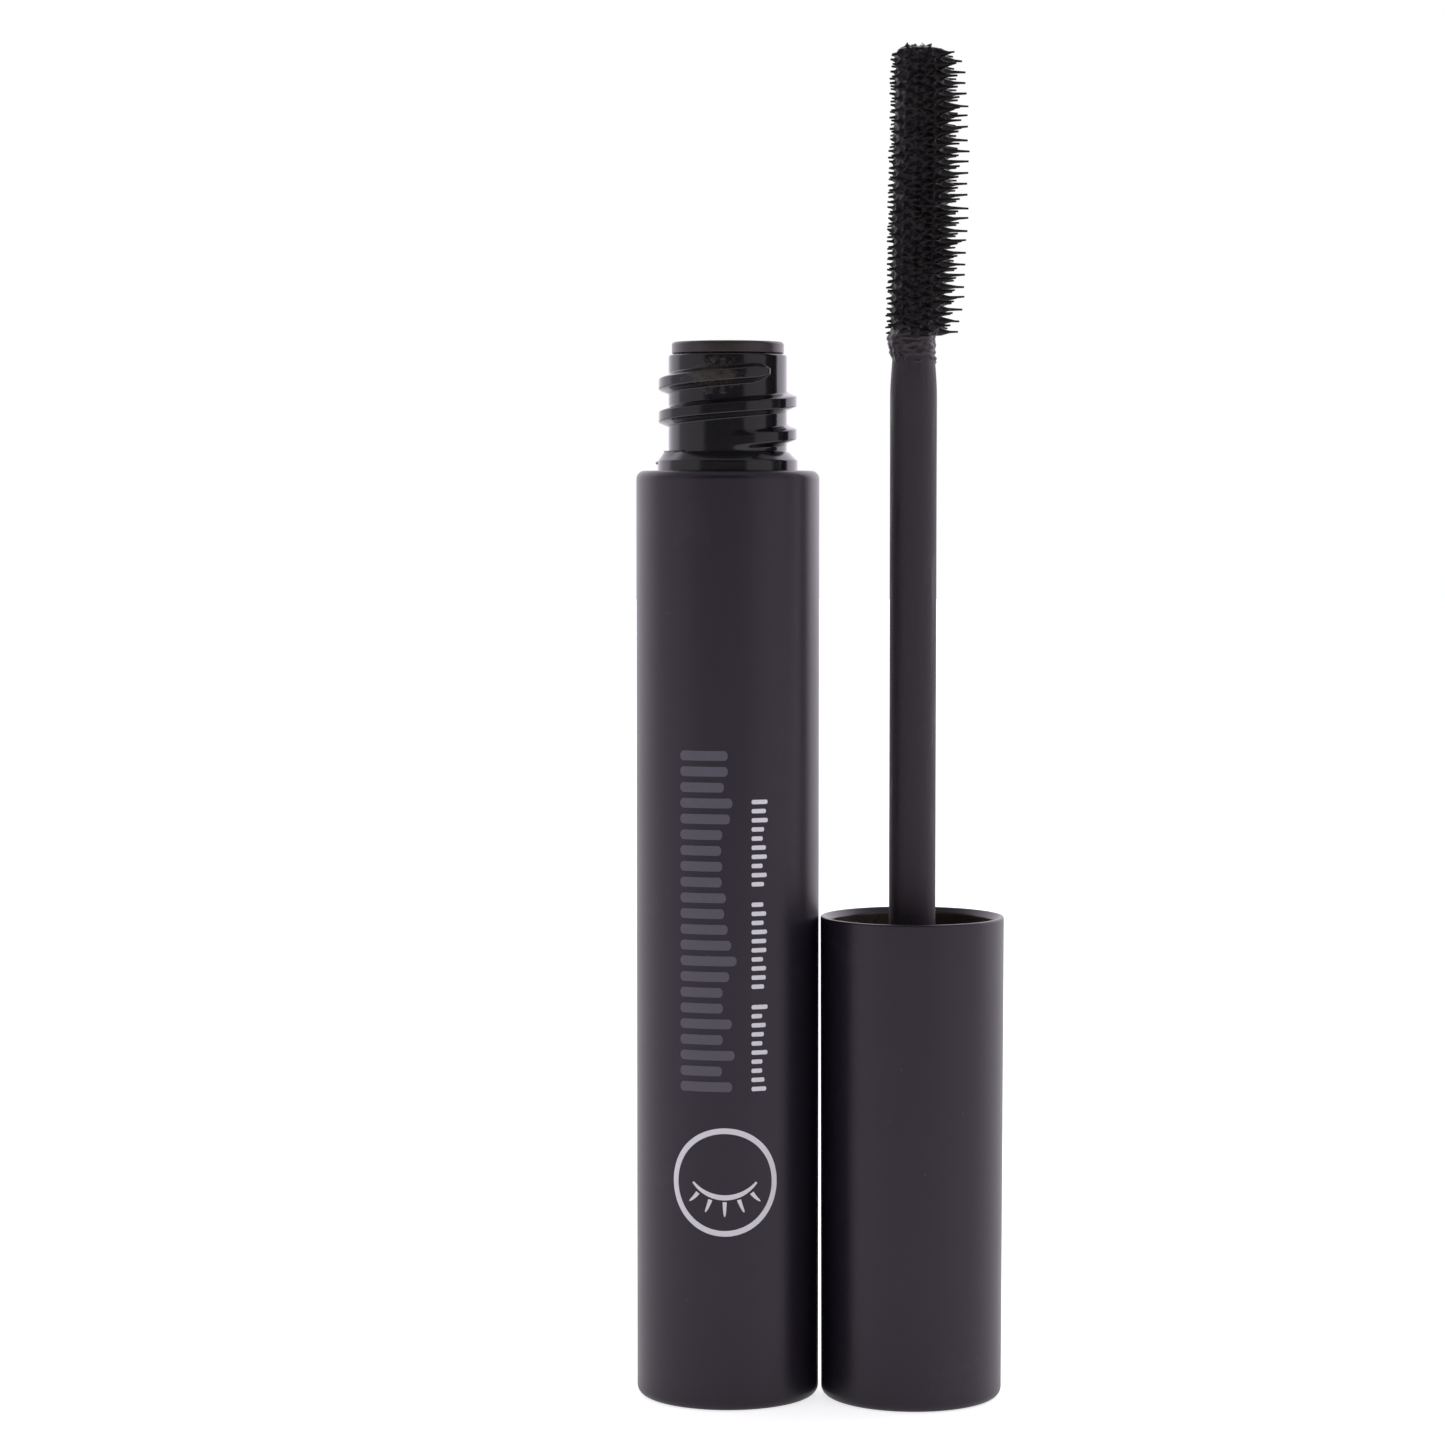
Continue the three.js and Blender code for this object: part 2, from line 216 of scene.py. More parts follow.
# fine moulded or sprayed grain over slow mottling
def grainGroup():
    tree, given, out = newGroup("surface grain", "ShaderNodeTree", {
        "Vector": "Vector",
        "Grain Size": 0.12,
        "Mottle Size": 2.0,
    }, {"Height": "Float", "Mottle": "Float"})
    plus, times, over = sumsFor(tree, "ADD", "MULTIPLY", "DIVIDE")
    fineScale = over(1000, given["Grain Size"])
    slowScale = over(1000, given["Mottle Size"])
    fine = put(tree, "ShaderNodeTexNoise",
               {"Vector": given["Vector"], "Scale": fineScale, "Detail": 2.0, "Roughness": 0.6})
    slow = put(tree, "ShaderNodeTexNoise",
               {"Vector": given["Vector"], "Scale": slowScale, "Detail": 3.0, "Roughness": 0.55})
    height = plus(times(fine.outputs["Fac"], 0.8), times(slow.outputs["Fac"], 0.2))
    plug(tree, out["Height"], height)
    plug(tree, out["Mottle"], slow.outputs["Fac"])
    return tree


# scattered pale lint and dust, thinner in some places than in others
def dustGroup():
    tree, given, out = newGroup("lint and dust", "ShaderNodeTree", {
        "Vector": "Vector",
        "Spacing": 1.2,
        "Speck Size": 0.06,
        "Amount": 0.5,
    }, {"Mask": "Float"})
    times, over = sumsFor(tree, "MULTIPLY", "DIVIDE")
    scale = over(1000, given["Spacing"])
    cells = put(tree, "ShaderNodeTexVoronoi", {"Vector": given["Vector"], "Scale": scale})
    size = over(given["Speck Size"], given["Spacing"])
    speck = calc(tree, "LESS_THAN", cells.outputs["Distance"], size)
    pick = put(tree, "ShaderNodeSeparateColor", {"Color": cells.outputs["Color"]})
    kept = calc(tree, "LESS_THAN", pick.outputs[0], given["Amount"])
    plug(tree, out["Mask"], times(speck, kept))
    return tree


# where product has wiped off on a surface: a soft patch broken up by streaks
def smearGroup():
    tree, given, out = newGroup("product smear", "ShaderNodeTree", {
        "Vector": "Vector",
        "Centre": (0, 0, 0),
        "Reach": (0.004, 0.004, 0.004),
        "Streak Size": 0.5,
        "Amount": 0.5,
    }, {"Mask": "Float", "Height": "Float"})
    plus, minus, times, over = sumsFor(tree, "ADD", "SUBTRACT", "MULTIPLY", "DIVIDE")
    offset = put(tree, "ShaderNodeVectorMath", {0: given["Vector"], 1: given["Centre"]}, operation="SUBTRACT")
    share = put(tree, "ShaderNodeVectorMath", {0: offset.outputs[0], 1: given["Reach"]}, operation="DIVIDE")
    far = put(tree, "ShaderNodeVectorMath", {0: share.outputs[0]}, operation="LENGTH").outputs["Value"]
    near = minus(1.0, far)
    streaks = put(tree, "ShaderNodeTexNoise", {
        "Vector": given["Vector"], "Scale": over(1000, given["Streak Size"]), "Detail": 4.0,
        "Distortion": 0.6})
    broken = plus(near, calc(tree, "MULTIPLY_ADD", streaks.outputs["Fac"], 1.6, -0.8))
    level = calc(tree, "MULTIPLY_ADD", given["Amount"], 2.0, -1.0)
    mask = put(tree, "ShaderNodeMapRange", {
        "Value": plus(broken, level), "From Min": 0.0, "From Max": 1.0,
        "To Min": 0.0, "To Max": 0.9}, interpolation_type="SMOOTHSTEP")
    plug(tree, out["Mask"], mask.outputs[0])
    plug(tree, out["Height"], times(mask.outputs[0], streaks.outputs["Fac"]))
    return tree


surfaceGrain = grainGroup()
lintAndDust = dustGroup()
productSmear = smearGroup()


def startMaterial(name, values):
    material = bpy.data.materials.new(name)
    material.use_nodes = True
    tree = material.node_tree
    shader = tree.nodes["Principled BSDF"]
    for socket, value in values.items():
        shader.inputs[socket].default_value = value
    coordinates = tree.nodes.new("ShaderNodeTexCoord").outputs["Object"]
    return material, tree, shader, coordinates


def fillGroup(tree, group, plugs):
    return put(tree, "ShaderNodeGroup", plugs, node_tree=group).outputs


def mixColour(tree, mask, first, second):
    return put(tree, "ShaderNodeMix", {0: mask, 6: first, 7: second}, data_type="RGBA").outputs[2]


def mixValue(tree, mask, first, second):
    return put(tree, "ShaderNodeMix", {0: mask, 2: first, 3: second}, data_type="FLOAT").outputs[0]


# colour, roughness and relief (its depth in mm) into the shader
def dress(tree, shader, colour, roughness, height, depth):
    plug(tree, shader.inputs["Base Color"], colour)
    plug(tree, shader.inputs["Roughness"], roughness)
    bump = put(tree, "ShaderNodeBump", {"Height": height, "Distance": depth * mm, "Strength": 1.0})
    plug(tree, shader.inputs["Normal"], bump.outputs[0])


softTouchLook = {
    "dark": (0.0092, 0.0070, 0.0126, 1),
    "light": (0.0124, 0.0095, 0.0165, 1),
    "rubbed": (0.0200, 0.0165, 0.0225, 1),
    "lint": (0.10, 0.095, 0.105, 1),
    "roughness": (0.30, 0.40),
    "grainSize": 0.16,
    "mottleSize": 1.6,
    "grainDepth": 0.0035,
    "lintSpacing": 1.9,
    "lintSize": 0.07,
    "lintShare": 0.3,
    "lintStrength": 0.55,
    "rubFrom": 0.66,
    "rubStrength": 0.3,
}


def softTouchLacquer():
    look = softTouchLook
    material, tree, shader, place = startMaterial("softTouchLacquer", {
        "IOR": 1.5, "Specular Tint": (1.0, 0.9, 1.0, 1)})
    grain = fillGroup(tree, surfaceGrain, {
        "Vector": place, "Grain Size": look["grainSize"], "Mottle Size": look["mottleSize"]})
    lint = fillGroup(tree, lintAndDust, {
        "Vector": place, "Spacing": look["lintSpacing"], "Speck Size": look["lintSize"],
        "Amount": look["lintShare"]})
    rub = fillGroup(tree, surfaceGrain, {"Vector": place, "Grain Size": 0.8, "Mottle Size": 9.0})
    colour = mixColour(tree, grain["Mottle"], look["dark"], look["light"])
    bare = calc(tree, "GREATER_THAN", rub["Mottle"], look["rubFrom"])
    worn = calc(tree, "MULTIPLY", bare, look["rubStrength"])
    colour = mixColour(tree, worn, colour, look["rubbed"])
    colour = mixColour(tree, calc(tree, "MULTIPLY", lint["Mask"], look["lintStrength"]), colour, look["lint"])
    roughness = mixValue(tree, rub["Mottle"], *look["roughness"])
    dress(tree, shader, colour, roughness, grain["Height"], look["grainDepth"])
    return material


glossLook = {
    "plastic": (0.0065, 0.0058, 0.0075, 1),
    "smear": (0.030, 0.024, 0.016, 1),
    "roughness": 0.10,
    "roughnessRange": 0.08,
    "smearRoughness": 0.42,
    "bumpDepth": 0.035,
}


def glossBlack(name, centre, reach, amount):
    look = glossLook
    material, tree, shader, place = startMaterial(name, {"IOR": 1.52})
    grain = fillGroup(tree, surfaceGrain, {"Vector": place, "Grain Size": 0.7, "Mottle Size": 2.4})
    smear = fillGroup(tree, productSmear, {"Vector": place, "Centre": centre * mm, "Reach": reach * mm,
                                           "Streak Size": 0.55, "Amount": amount})
    colour = mixColour(tree, smear["Mask"], look["plastic"], look["smear"])
    clean = mixValue(tree, grain["Mottle"], look["roughness"], look["roughness"] + look["roughnessRange"])
    roughness = mixValue(tree, smear["Mask"], clean, look["smearRoughness"])
    height = calc(tree, "ADD", calc(tree, "MULTIPLY", grain["Height"], 0.12), smear["Height"])
    dress(tree, shader, colour, roughness, height, look["bumpDepth"])
    return material


def wiperSatin():
    material, tree, shader, place = startMaterial("wiperSatin", {"IOR": 1.49})
    grain = fillGroup(tree, surfaceGrain, {"Vector": place, "Grain Size": 0.25, "Mottle Size": 1.5})
    centre = (bottleAxis + Vector((-0.5, -5.2, boxOf("wiper")[1].z - 0.5))) * mm
    smear = fillGroup(tree, productSmear, {
        "Vector": place, "Centre": centre, "Reach": Vector((4, 3, 1.6)) * mm, "Streak Size": 0.6,
        "Amount": 0.45})
    plastic = mixColour(tree, grain["Mottle"], (0.030, 0.0225, 0.0240, 1), (0.042, 0.0320, 0.0330, 1))
    colour = mixColour(tree, smear["Mask"], plastic, (0.022, 0.018, 0.012, 1))
    height = calc(tree, "ADD", grain["Height"], smear["Height"])
    dress(tree, shader, colour, mixValue(tree, grain["Mottle"], 0.26, 0.40), height, 0.012)
    return material


# finishes that differ only in their numbers: grain is (fine, mottling), and a spread sharpens the mottling,
# which on the dried paste gives its painted highlight patches
mottledLooks = {
    "wetPaste": {
        "shader": {"IOR": 1.45, "Specular IOR Level": 0.28}, "grain": (0.22, 0.9), "depth": 0.05,
        "dark": (0.0016, 0.0010, 0.0014, 1), "light": (0.0040, 0.0024, 0.0028, 1), "roughness": (0.28, 0.5)},
    "pasteOnStem": {
        "shader": {"IOR": 1.45}, "grain": (0.2, 0.7), "depth": 0.06,
        "dark": (0.010, 0.0075, 0.010, 1), "light": (0.030, 0.023, 0.029, 1), "roughness": (0.25, 0.5)},
    # dried paste: dark product, and its light colour is a painted highlight laid in sharp patches by the
    # spread
    "driedPastePaintedHighlights": {
        "shader": {"IOR": 1.45}, "grain": (0.15, 0.55), "depth": 0.06, "highlightSpread": (0.42, 0.62),
        "dark": (0.020, 0.015, 0.017, 1), "light": (0.26, 0.20, 0.21, 1), "roughness": (0.35, 0.65)},
    "brushElastomer": {
        "shader": {"IOR": 1.46, "Specular IOR Level": 0.3}, "grain": (0.18, 0.8), "depth": 0.02,
        "dark": (0.0040, 0.0026, 0.0030, 1), "light": (0.0120, 0.0070, 0.0072, 1), "roughness": (0.30, 0.52)},
    "inkGrey": {
        "shader": {"IOR": 1.5}, "grain": (0.14, 0.45), "depth": 0.003, "roughBy": "Height",
        "dark": (0.088, 0.083, 0.108, 1), "light": (0.108, 0.102, 0.130, 1), "roughness": (0.42, 0.57)},
    "inkWhite": {
        "shader": {"IOR": 1.5}, "grain": (0.14, 0.45), "depth": 0.003, "roughBy": "Height",
        "dark": (0.78, 0.78, 0.81, 1), "light": (0.86, 0.86, 0.89, 1), "roughness": (0.4, 0.55)},
    "sealRubber": {
        "shader": {"IOR": 1.5}, "grain": (0.2, 1.0), "depth": 0.01, "roughBy": "Height",
        "dark": (0.075, 0.070, 0.066, 1), "light": (0.105, 0.099, 0.094, 1), "roughness": (0.55, 0.75)},
    "capLining": {
        "shader": {"IOR": 1.5}, "grain": (0.3, 1.8), "depth": 0.006,
        "dark": (0.045, 0.038, 0.028, 1), "light": (0.085, 0.074, 0.058, 1), "roughness": (0.22, 0.36)},
}


def mottledFinish(name):
    look = mottledLooks[name]
    material, tree, shader, place = startMaterial(name, look["shader"])
    fine, mottling = look["grain"]
    grain = fillGroup(tree, surfaceGrain, {"Vector": place, "Grain Size": fine, "Mottle Size": mottling})
    mask = grain["Mottle"]
    # the spread cuts the mottling into sharp patches; on the dried paste these are painted highlights
    if "highlightSpread" in look:
        low, high = look["highlightSpread"]
        mask = put(tree, "ShaderNodeMapRange", {"Value": mask, "From Min": low, "From Max": high}).outputs[0]
    colour = mixColour(tree, mask, look["dark"], look["light"])
    roughness = mixValue(tree, grain[look.get("roughBy", "Mottle")], *look["roughness"])
    dress(tree, shader, colour, roughness, grain["Height"], look["depth"])
    return material


def stemSatin():
    material, tree, shader, place = startMaterial("stemSatin", {"IOR": 1.48})
    grain = fillGroup(tree, surfaceGrain, {"Vector": place, "Grain Size": 0.2, "Mottle Size": 1.3})
    stretched = put(tree, "ShaderNodeMapping", {"Vector": place, "Scale": (1, 1, 0.12)})
    streaks = put(tree, "ShaderNodeTexNoise", {
        "Vector": stretched.outputs[0], "Scale": 1500.0, "Detail": 4.0})
    film = put(tree, "ShaderNodeMapRange", {
        "Value": streaks.outputs["Fac"], "From Min": 0.52, "From Max": 0.72})
    plastic = mixColour(tree, grain["Mottle"], (0.0235, 0.0170, 0.0245, 1), (0.030, 0.0218, 0.0305, 1))
    colour = mixColour(tree, calc(tree, "MULTIPLY", film.outputs[0], 0.6), plastic, (0.012, 0.009, 0.010, 1))
    height = calc(tree, "ADD", calc(tree, "MULTIPLY", grain["Height"], 0.3), film.outputs[0])
    dress(tree, shader, colour, mixValue(tree, film.outputs[0], 0.62, 0.42), height, 0.014)
    return material


def labelFilm():
    material, tree, shader, place = startMaterial("labelFilm", {"IOR": 1.5})
    grain = fillGroup(tree, surfaceGrain, {"Vector": place, "Grain Size": 0.1, "Mottle Size": 1.2})
    local = put(tree, "ShaderNodeMapping", {"Vector": place, "Location": tuple(-bottleAxis * mm)})
    flat = put(tree, "ShaderNodeVectorMath", {0: local.outputs[0], 1: (1, 1, 0)}, operation="MULTIPLY")
    reach = put(tree, "ShaderNodeVectorMath", {0: flat.outputs[0]}, operation="LENGTH").outputs["Value"]
    line = calc(tree, "LESS_THAN", calc(tree, "ABSOLUTE", calc(tree, "SUBTRACT", reach, 5.6 * mm)), 0.12 * mm)
    film = mixColour(tree, grain["Mottle"], (0.44, 0.44, 0.46, 1), (0.52, 0.52, 0.54, 1))
    colour = mixColour(tree, line, film, (0.03, 0.03, 0.035, 1))
    dress(tree, shader, colour, mixValue(tree, grain["Height"], 0.32, 0.46), grain["Height"], 0.002)
    return material


softTouch = softTouchLacquer()
neckSmear = bottleAxis + Vector((-1.6, -6.2, tubeHeight + 9.4))
capSmear = applicatorAxis + Vector((0, 0, 34))
neckGloss = glossBlack("neckGloss", neckSmear, Vector((3.4, 3, 2.0)), 0.5)
capGloss = glossBlack("capGloss", capSmear, Vector((6, 6, 3)), 0.4)
wiperPlastic = wiperSatin()
stemPlastic = stemSatin()
baseFilm = labelFilm()
finishes = {name: mottledFinish(name) for name in mottledLooks}
print("materials made:", len(bpy.data.materials))


tubeShape = {
    "wall": 0.9,
    "floor": 1.3,
    "baseFillet": 0.9,
    "rimRound": 0.8,
    "labelInset": 2.4,
    "labelRecess": 0.4,
    "sides": 256,
}


def outerTube():
    shape = tubeShape
    label = tubeRadius - shape["labelInset"]
    bore = tubeRadius - shape["wall"]
    outline = filleted([
        (0, shape["labelRecess"], 0),
        (label, shape["labelRecess"], 0.06),
        (label, 0, 0.1),
        (tubeRadius, 0, shape["baseFillet"]),
        (tubeRadius, tubeHeight, shape["rimRound"]),
        (bore, tubeHeight, 0.08),
        (bore, shape["floor"], 0.4),
        (0, shape["floor"], 0),
    ], steps=8)
    makeTurned("outerTube", outline, bottleAxis, shape["sides"], [softTouch], "bottle", "soft_touch",
               "outer_tube")


def baseLabel():
    foot, top, radius = spanOf("base_label")
    edge = 0.03
    corners = [(0, foot, 0), (radius, foot, edge), (radius, top, edge), (0, top, 0)]
    outline = filleted(corners, steps=3, guard=0.02)
    makeTurned("baseLabel", outline, bottleAxis, 128, [baseFilm], "bottle", "label", "base_label")


neckShape = {
    "shoulderDrop": 0.35,
    "collarRadius": 6.92,
    "collarHeight": 1.85,
    "collarChamfer": 0.85,
    "radius": 5.85,
    "bore": 4.6,
    "threadDepth": 0.97,
    "threadPitch": 3.2,
    "threadTurns": 2.12,
    "threadTopDrop": 1.7,
    "threadEnd": -45,       # degrees from +X, where the thread's upper end runs out
    "noseTurn": 20,
    "tailTurn": 70,
    "crestHalf": 0.42,
    "rootHalf": 1.0,
    "toothAngle": 173,
    "toothSpacing": 9,
    "toothReach": 0.2,
    "toothDrop": 0.25,
    "toothHalf": 0.24,
    "toothTurn": 3,
    "lugStart": 186,
    "lugTurn": 38,
    "lugReach": 0.5,
    "lugFall": 0.5,
    "lugBelow": 0.1,
    "lugAbove": 0.12,
    "wall": 0.9,
    "rowStep": 0.05,
    "sides": 300,
}


# how far the thread's ridge stands off the neck at an angle and a height
def threadRise(angle, height, top):
    shape = neckShape
    turn = 360
    first = shape["threadEnd"] - shape["threadTurns"] * turn
    start = top - shape["threadTopDrop"] - shape["threadTurns"] * shape["threadPitch"]
    rise = 0
    around = math.degrees(angle)
    along = around + turn * math.ceil((first - around) / turn)
    while along <= shape["threadEnd"]:
        away = abs(height - start - (along - first) / turn * shape["threadPitch"])
        nose = (shape["threadEnd"] - along) / shape["noseTurn"]
        tail = (along - first) / shape["tailTurn"]
        narrow = math.sqrt(min(1, nose + 0.02))
        tall = smooth(nose * 2.2) * smooth(tail)
        crest = shape["crestHalf"] * narrow
        root = shape["rootHalf"] * narrow
        rise = max(rise, tall * (1 - smooth((away - crest) / (root - crest))))
        along += turn
    return rise * shape["threadDepth"]


def innerBottle():
    shape = neckShape
    foot, top, bodyRadius = spanOf("inner_bottle")
    shoulder = tubeHeight - shape["shoulderDrop"]
    collarTop = tubeHeight + shape["collarHeight"]
    collarEdge = collarTop - shape["collarChamfer"]
    lugHigh = shape["collarChamfer"] + shape["lugAbove"]
    inside = bodyRadius - shape["wall"]
    under = shoulder - 1.4
    lower = filleted([
        (0, foot, 0),
        (bodyRadius, foot, 0.4),
        (bodyRadius, shoulder, 0.15),
        (shape["collarRadius"], shoulder, 0.12),
        *[(shape["collarRadius"], collarEdge - 0.6 + 0.06 * row, 0) for row in range(8)],
        (shape["collarRadius"], collarEdge, 0.1),
        (shape["collarRadius"] - shape["collarChamfer"], collarTop, 0.1),
        (shape["radius"], collarTop, 0.1),
        (shape["radius"], top, 0),
    ])[:-1]
    upper = filleted([
        (shape["radius"], collarTop, 0),
        (shape["radius"], top, 0.22),
        (shape["bore"], top, 0.2),
        (shape["bore"], under, 0.5),
        (inside, under - (inside - shape["bore"]) * 0.6, 1),
        (inside, foot + 1, 0.6),
        (0, foot + 1, 0),
    ])[1:]
    wallLow = lower[-1][1]
    wallHigh = upper[0][1]
    rows = int((wallHigh - wallLow) / shape["rowStep"])
    wall = [(shape["radius"], wallLow + (wallHigh - wallLow) * row / rows) for row in range(1, rows)]
    outline = lower + wall + upper

    def form(angle, radius, height):
        if not -0.3 <= radius - shape["radius"] <= 1.2 or height < shoulder + 0.05:
            return radius
        around = math.degrees(angle)
        moved = radius
        if abs(radius - shape["radius"]) < 1e-4:
            moved += threadRise(angle, height, top)
        for tooth in (-1, 0, 1):
            if radius <= shape["collarRadius"] - 0.2:
                break
            away = abs(around - shape["toothAngle"] - tooth * shape["toothSpacing"])
            level = 1 - smooth(abs(height - collarEdge + shape["toothDrop"]) / shape["toothHalf"])
            moved += shape["toothReach"] * level * (1 - smooth(away / shape["toothTurn"]))
        turn = around - shape["lugStart"]
        if 0 < turn < shape["lugTurn"] and -shape["lugBelow"] < height - collarEdge < lugHigh:
            lug = shape["lugReach"] * (1 - shape["lugFall"] * turn / shape["lugTurn"])
            moved = max(moved, shape["radius"] + lug)
        return moved

    makeTurned("innerBottle", outline, bottleAxis, shape["sides"], [neckGloss], "bottle", "gloss_black",
               "inner_bottle", form=form, sharp=50)


wiperShape = {
    "flangeHeight": 1.15,
    "body": 4.5,
    "throat": 3.8,
    "lipLength": 4.2,
    "orifice": 2.2,
}


def wiperSleeve():
    shape = wiperShape
    foot, top, flange = spanOf("wiper")
    seat = top - shape["flangeHeight"]
    lipTop = foot + shape["lipLength"]
    outline = filleted([
        (shape["orifice"], foot, 0.1),
        (shape["orifice"] + 0.5, foot, 0.15),
        (shape["body"], lipTop + 0.3, 0.5),
        (shape["body"], seat, 0),
        (flange, seat, 0.12),
        (flange, top, 0.3),
        (shape["throat"] + 0.5, top, 0.15),
        (shape["throat"], top - 0.6, 0.2),
        (shape["throat"], lipTop + 0.3, 0.6),
        (shape["orifice"], foot + 0.5, 0.2),
    ])
    makeTurned("wiperSleeve", outline, bottleAxis, 192, [wiperPlastic], "bottle", "wiper_plastic", "wiper")


def pasteFill():
    foot, top, radius = spanOf("mascara_paste")
    well = 4.2
    rowStep = 1.2
    outline = filleted([
        (0, foot, 0),
        (radius, foot, 0.6),
        (radius, top, 0.5),
        (well + 0.7, top - 1.2, 0.5),
        (well, top - 3, 0.6),
        (well, foot + 2, 1.2),
        (0, foot + 2, 0),
    ])
    rows = []
    for (r1, z1), (r2, z2) in zip(outline, outline[1:]):
        parts = max(1, int(math.hypot(r2 - r1, z2 - z1) / rowStep))
        rows += [(r1 + (r2 - r1) * part / parts, z1 + (z2 - z1) * part / parts) for part in range(parts)]
    rows.append(outline[-1])

    def lumpy(angle, r, z):
        if r > radius - 0.3 or z < foot + 0.3:
            return r
        spot = Vector((math.cos(angle) * r, math.sin(angle) * r, z)) * 0.9
        return r + 0.25 * noise.noise(spot)

    makeTurned("pasteFill", rows, bottleAxis, 96, [finishes["wetPaste"]], "bottle", "paste", "mascara_paste",
               form=lumpy)


outerTube()
baseLabel()
innerBottle()
wiperSleeve()
pasteFill()
print("bottle made")


# a column of round-ended bars bent onto a tube, in groups
barForm = {
    "cornersAlong": 29,
    "cornersUp": 7,
    "rounding": 0.35,       # of a bar's height
    "steepest": 0.995,      # where the rounding stops short of upright
    "weld": 1e-6,
}


def barTree():
    tree, given, out = newGroup("printed bars", "GeometryNodeTree", {
        "Count": 22,
        "Pitch": 0.0015,
        "Group Size": 100,
        "Group Gap": 0.0,
        "Bar Height": 0.001,
        "Narrowest": 0.003,
        "Widest": 0.006,
        "Tube Radius": 0.009,
        "Edge Angle": 0.0,
        "Base Height": 0.03,
        "Ink Thickness": 0.00002,
        "Centre": (0, 0, 0),
        "Seed": 1,
        "Ink": "Material",
    }, {"Geometry": "Geometry"})
    tree.is_modifier = True
    plus, minus, times, over = sumsFor(tree, "ADD", "SUBTRACT", "MULTIPLY", "DIVIDE")
    index = put(tree, "GeometryNodeInputIndex").outputs[0]
    group = calc(tree, "FLOOR", over(index, given["Group Size"]))
    rise = plus(times(index, given["Pitch"]), times(group, given["Group Gap"]))
    height = plus(rise, given["Base Height"])
    spot = put(tree, "ShaderNodeCombineXYZ", {"Z": height})
    dots = put(tree, "GeometryNodePoints", {"Count": given["Count"], "Position": spot.outputs[0]})
    width = randomValue(tree, given["Narrowest"], given["Widest"], given["Seed"])
    kept = put(tree, "GeometryNodeStoreNamedAttribute", {
        "Geometry": dots.outputs[0], "Name": "barWidth", "Value": width}, data_type="FLOAT", domain="POINT")
    flat = put(tree, "GeometryNodeMeshGrid", {
        "Size X": 1.0, "Size Y": 1.0, "Vertices X": barForm["cornersAlong"],
        "Vertices Y": barForm["cornersUp"]})
    copies = put(tree, "GeometryNodeInstanceOnPoints", {
        "Points": kept.outputs[0], "Instance": flat.outputs[0]})
    real = put(tree, "GeometryNodeRealizeInstances", {"Geometry": copies.outputs[0]})
    here = put(tree, "ShaderNodeSeparateXYZ", {0: put(tree, "GeometryNodeInputPosition").outputs[0]})
    own = put(tree, "GeometryNodeInputNamedAttribute", {"Name": "barWidth"}, data_type="FLOAT").outputs[0]
    across = times(here.outputs[0], own)
    halfBar = times(given["Bar Height"], 0.5)
    corner = times(given["Bar Height"], barForm["rounding"])
    straight = minus(times(own, 0.5), corner)
    past = calc(tree, "MAXIMUM", minus(calc(tree, "ABSOLUTE", across), straight), 0.0)
    share = calc(tree, "MINIMUM", over(past, corner), barForm["steepest"])
    dip = minus(1.0, calc(tree, "SQRT", minus(1.0, times(share, share))))
    half = minus(halfBar, times(dip, corner))
    up = times(times(here.outputs[1], 2.0), half)
    run = plus(across, times(own, 0.5))
    angle = plus(over(run, given["Tube Radius"]), given["Edge Angle"])
    bent = put(tree, "ShaderNodeCombineXYZ", {
        "X": times(calc(tree, "SINE", angle), given["Tube Radius"]),
        "Y": times(times(calc(tree, "COSINE", angle), given["Tube Radius"]), -1.0),
        "Z": plus(here.outputs[2], up)})
    placed = put(tree, "ShaderNodeVectorMath", {0: bent.outputs[0], 1: given["Centre"]}, operation="ADD")
    sheet = put(tree, "GeometryNodeSetPosition", {"Geometry": real.outputs[0], "Position": placed.outputs[0]})
    raised = put(tree, "GeometryNodeExtrudeMesh", {
        "Mesh": sheet.outputs[0], "Offset Scale": given["Ink Thickness"], "Individual": False}, mode="FACES")
    backs = put(tree, "GeometryNodeFlipFaces", {"Mesh": sheet.outputs[0]})
    both = put(tree, "GeometryNodeJoinGeometry")
    tree.links.new(raised.outputs[0], both.inputs[0])
    tree.links.new(backs.outputs[0], both.inputs[0])
    closed = put(tree, "GeometryNodeMergeByDistance", {
        "Geometry": both.outputs[0], "Distance": barForm["weld"]})
    inked = put(tree, "GeometryNodeSetMaterial", {"Geometry": closed.outputs[0], "Material": given["Ink"]})
    plug(tree, out["Geometry"], inked.outputs[0])
    return tree


printLayout = {
    "lift": 0.006,
    "inkThickness": 0.02,
    "greyEdge": -30.6,      # degrees from the front, towards +X
    "greyWidth": (4.0, 5.72),
    "greyBase": 31.1,
    "greyTop": 64.8,
    "greyBars": 22,
    "greyFill": 0.62,
    "whiteEdge": 14.7,
    "whiteWidth": (1.05, 1.67),
    "whiteBase": 31.2,
    "whiteTop": 60.0,
    "whiteStrokes": 30,
    "strokeFill": 0.48,
    "strokesInGroup": 10,
    "groupGap": 1.1,
    "emblemAngle": -2.0,
    "emblemHeight": 22.55,
}


def bars(name, edge, widths, base, top, count, fill, groupSize, gap, seed):
    look = printLayout
    groups = (count - 1) // groupSize
    pitch = (top - base - groups * gap) / count
    radius = tubeRadius + look["lift"]
    mesh = grow(name, printed, {
        "Count": count, "Pitch": pitch * mm, "Group Size": groupSize, "Group Gap": gap * mm,
        "Bar Height": pitch * fill * mm, "Narrowest": widths[0] * mm, "Widest": widths[1] * mm,
        "Tube Radius": radius * mm, "Edge Angle": math.radians(edge),
        "Base Height": (base + pitch / 2) * mm, "Ink Thickness": look["inkThickness"] * mm,
        "Centre": bottleAxis * mm, "Seed": seed,
        "Ink": finishes["inkGrey" if name == "printBars" else "inkWhite"]})
    finishPiece(name, mesh, None, "bottle")


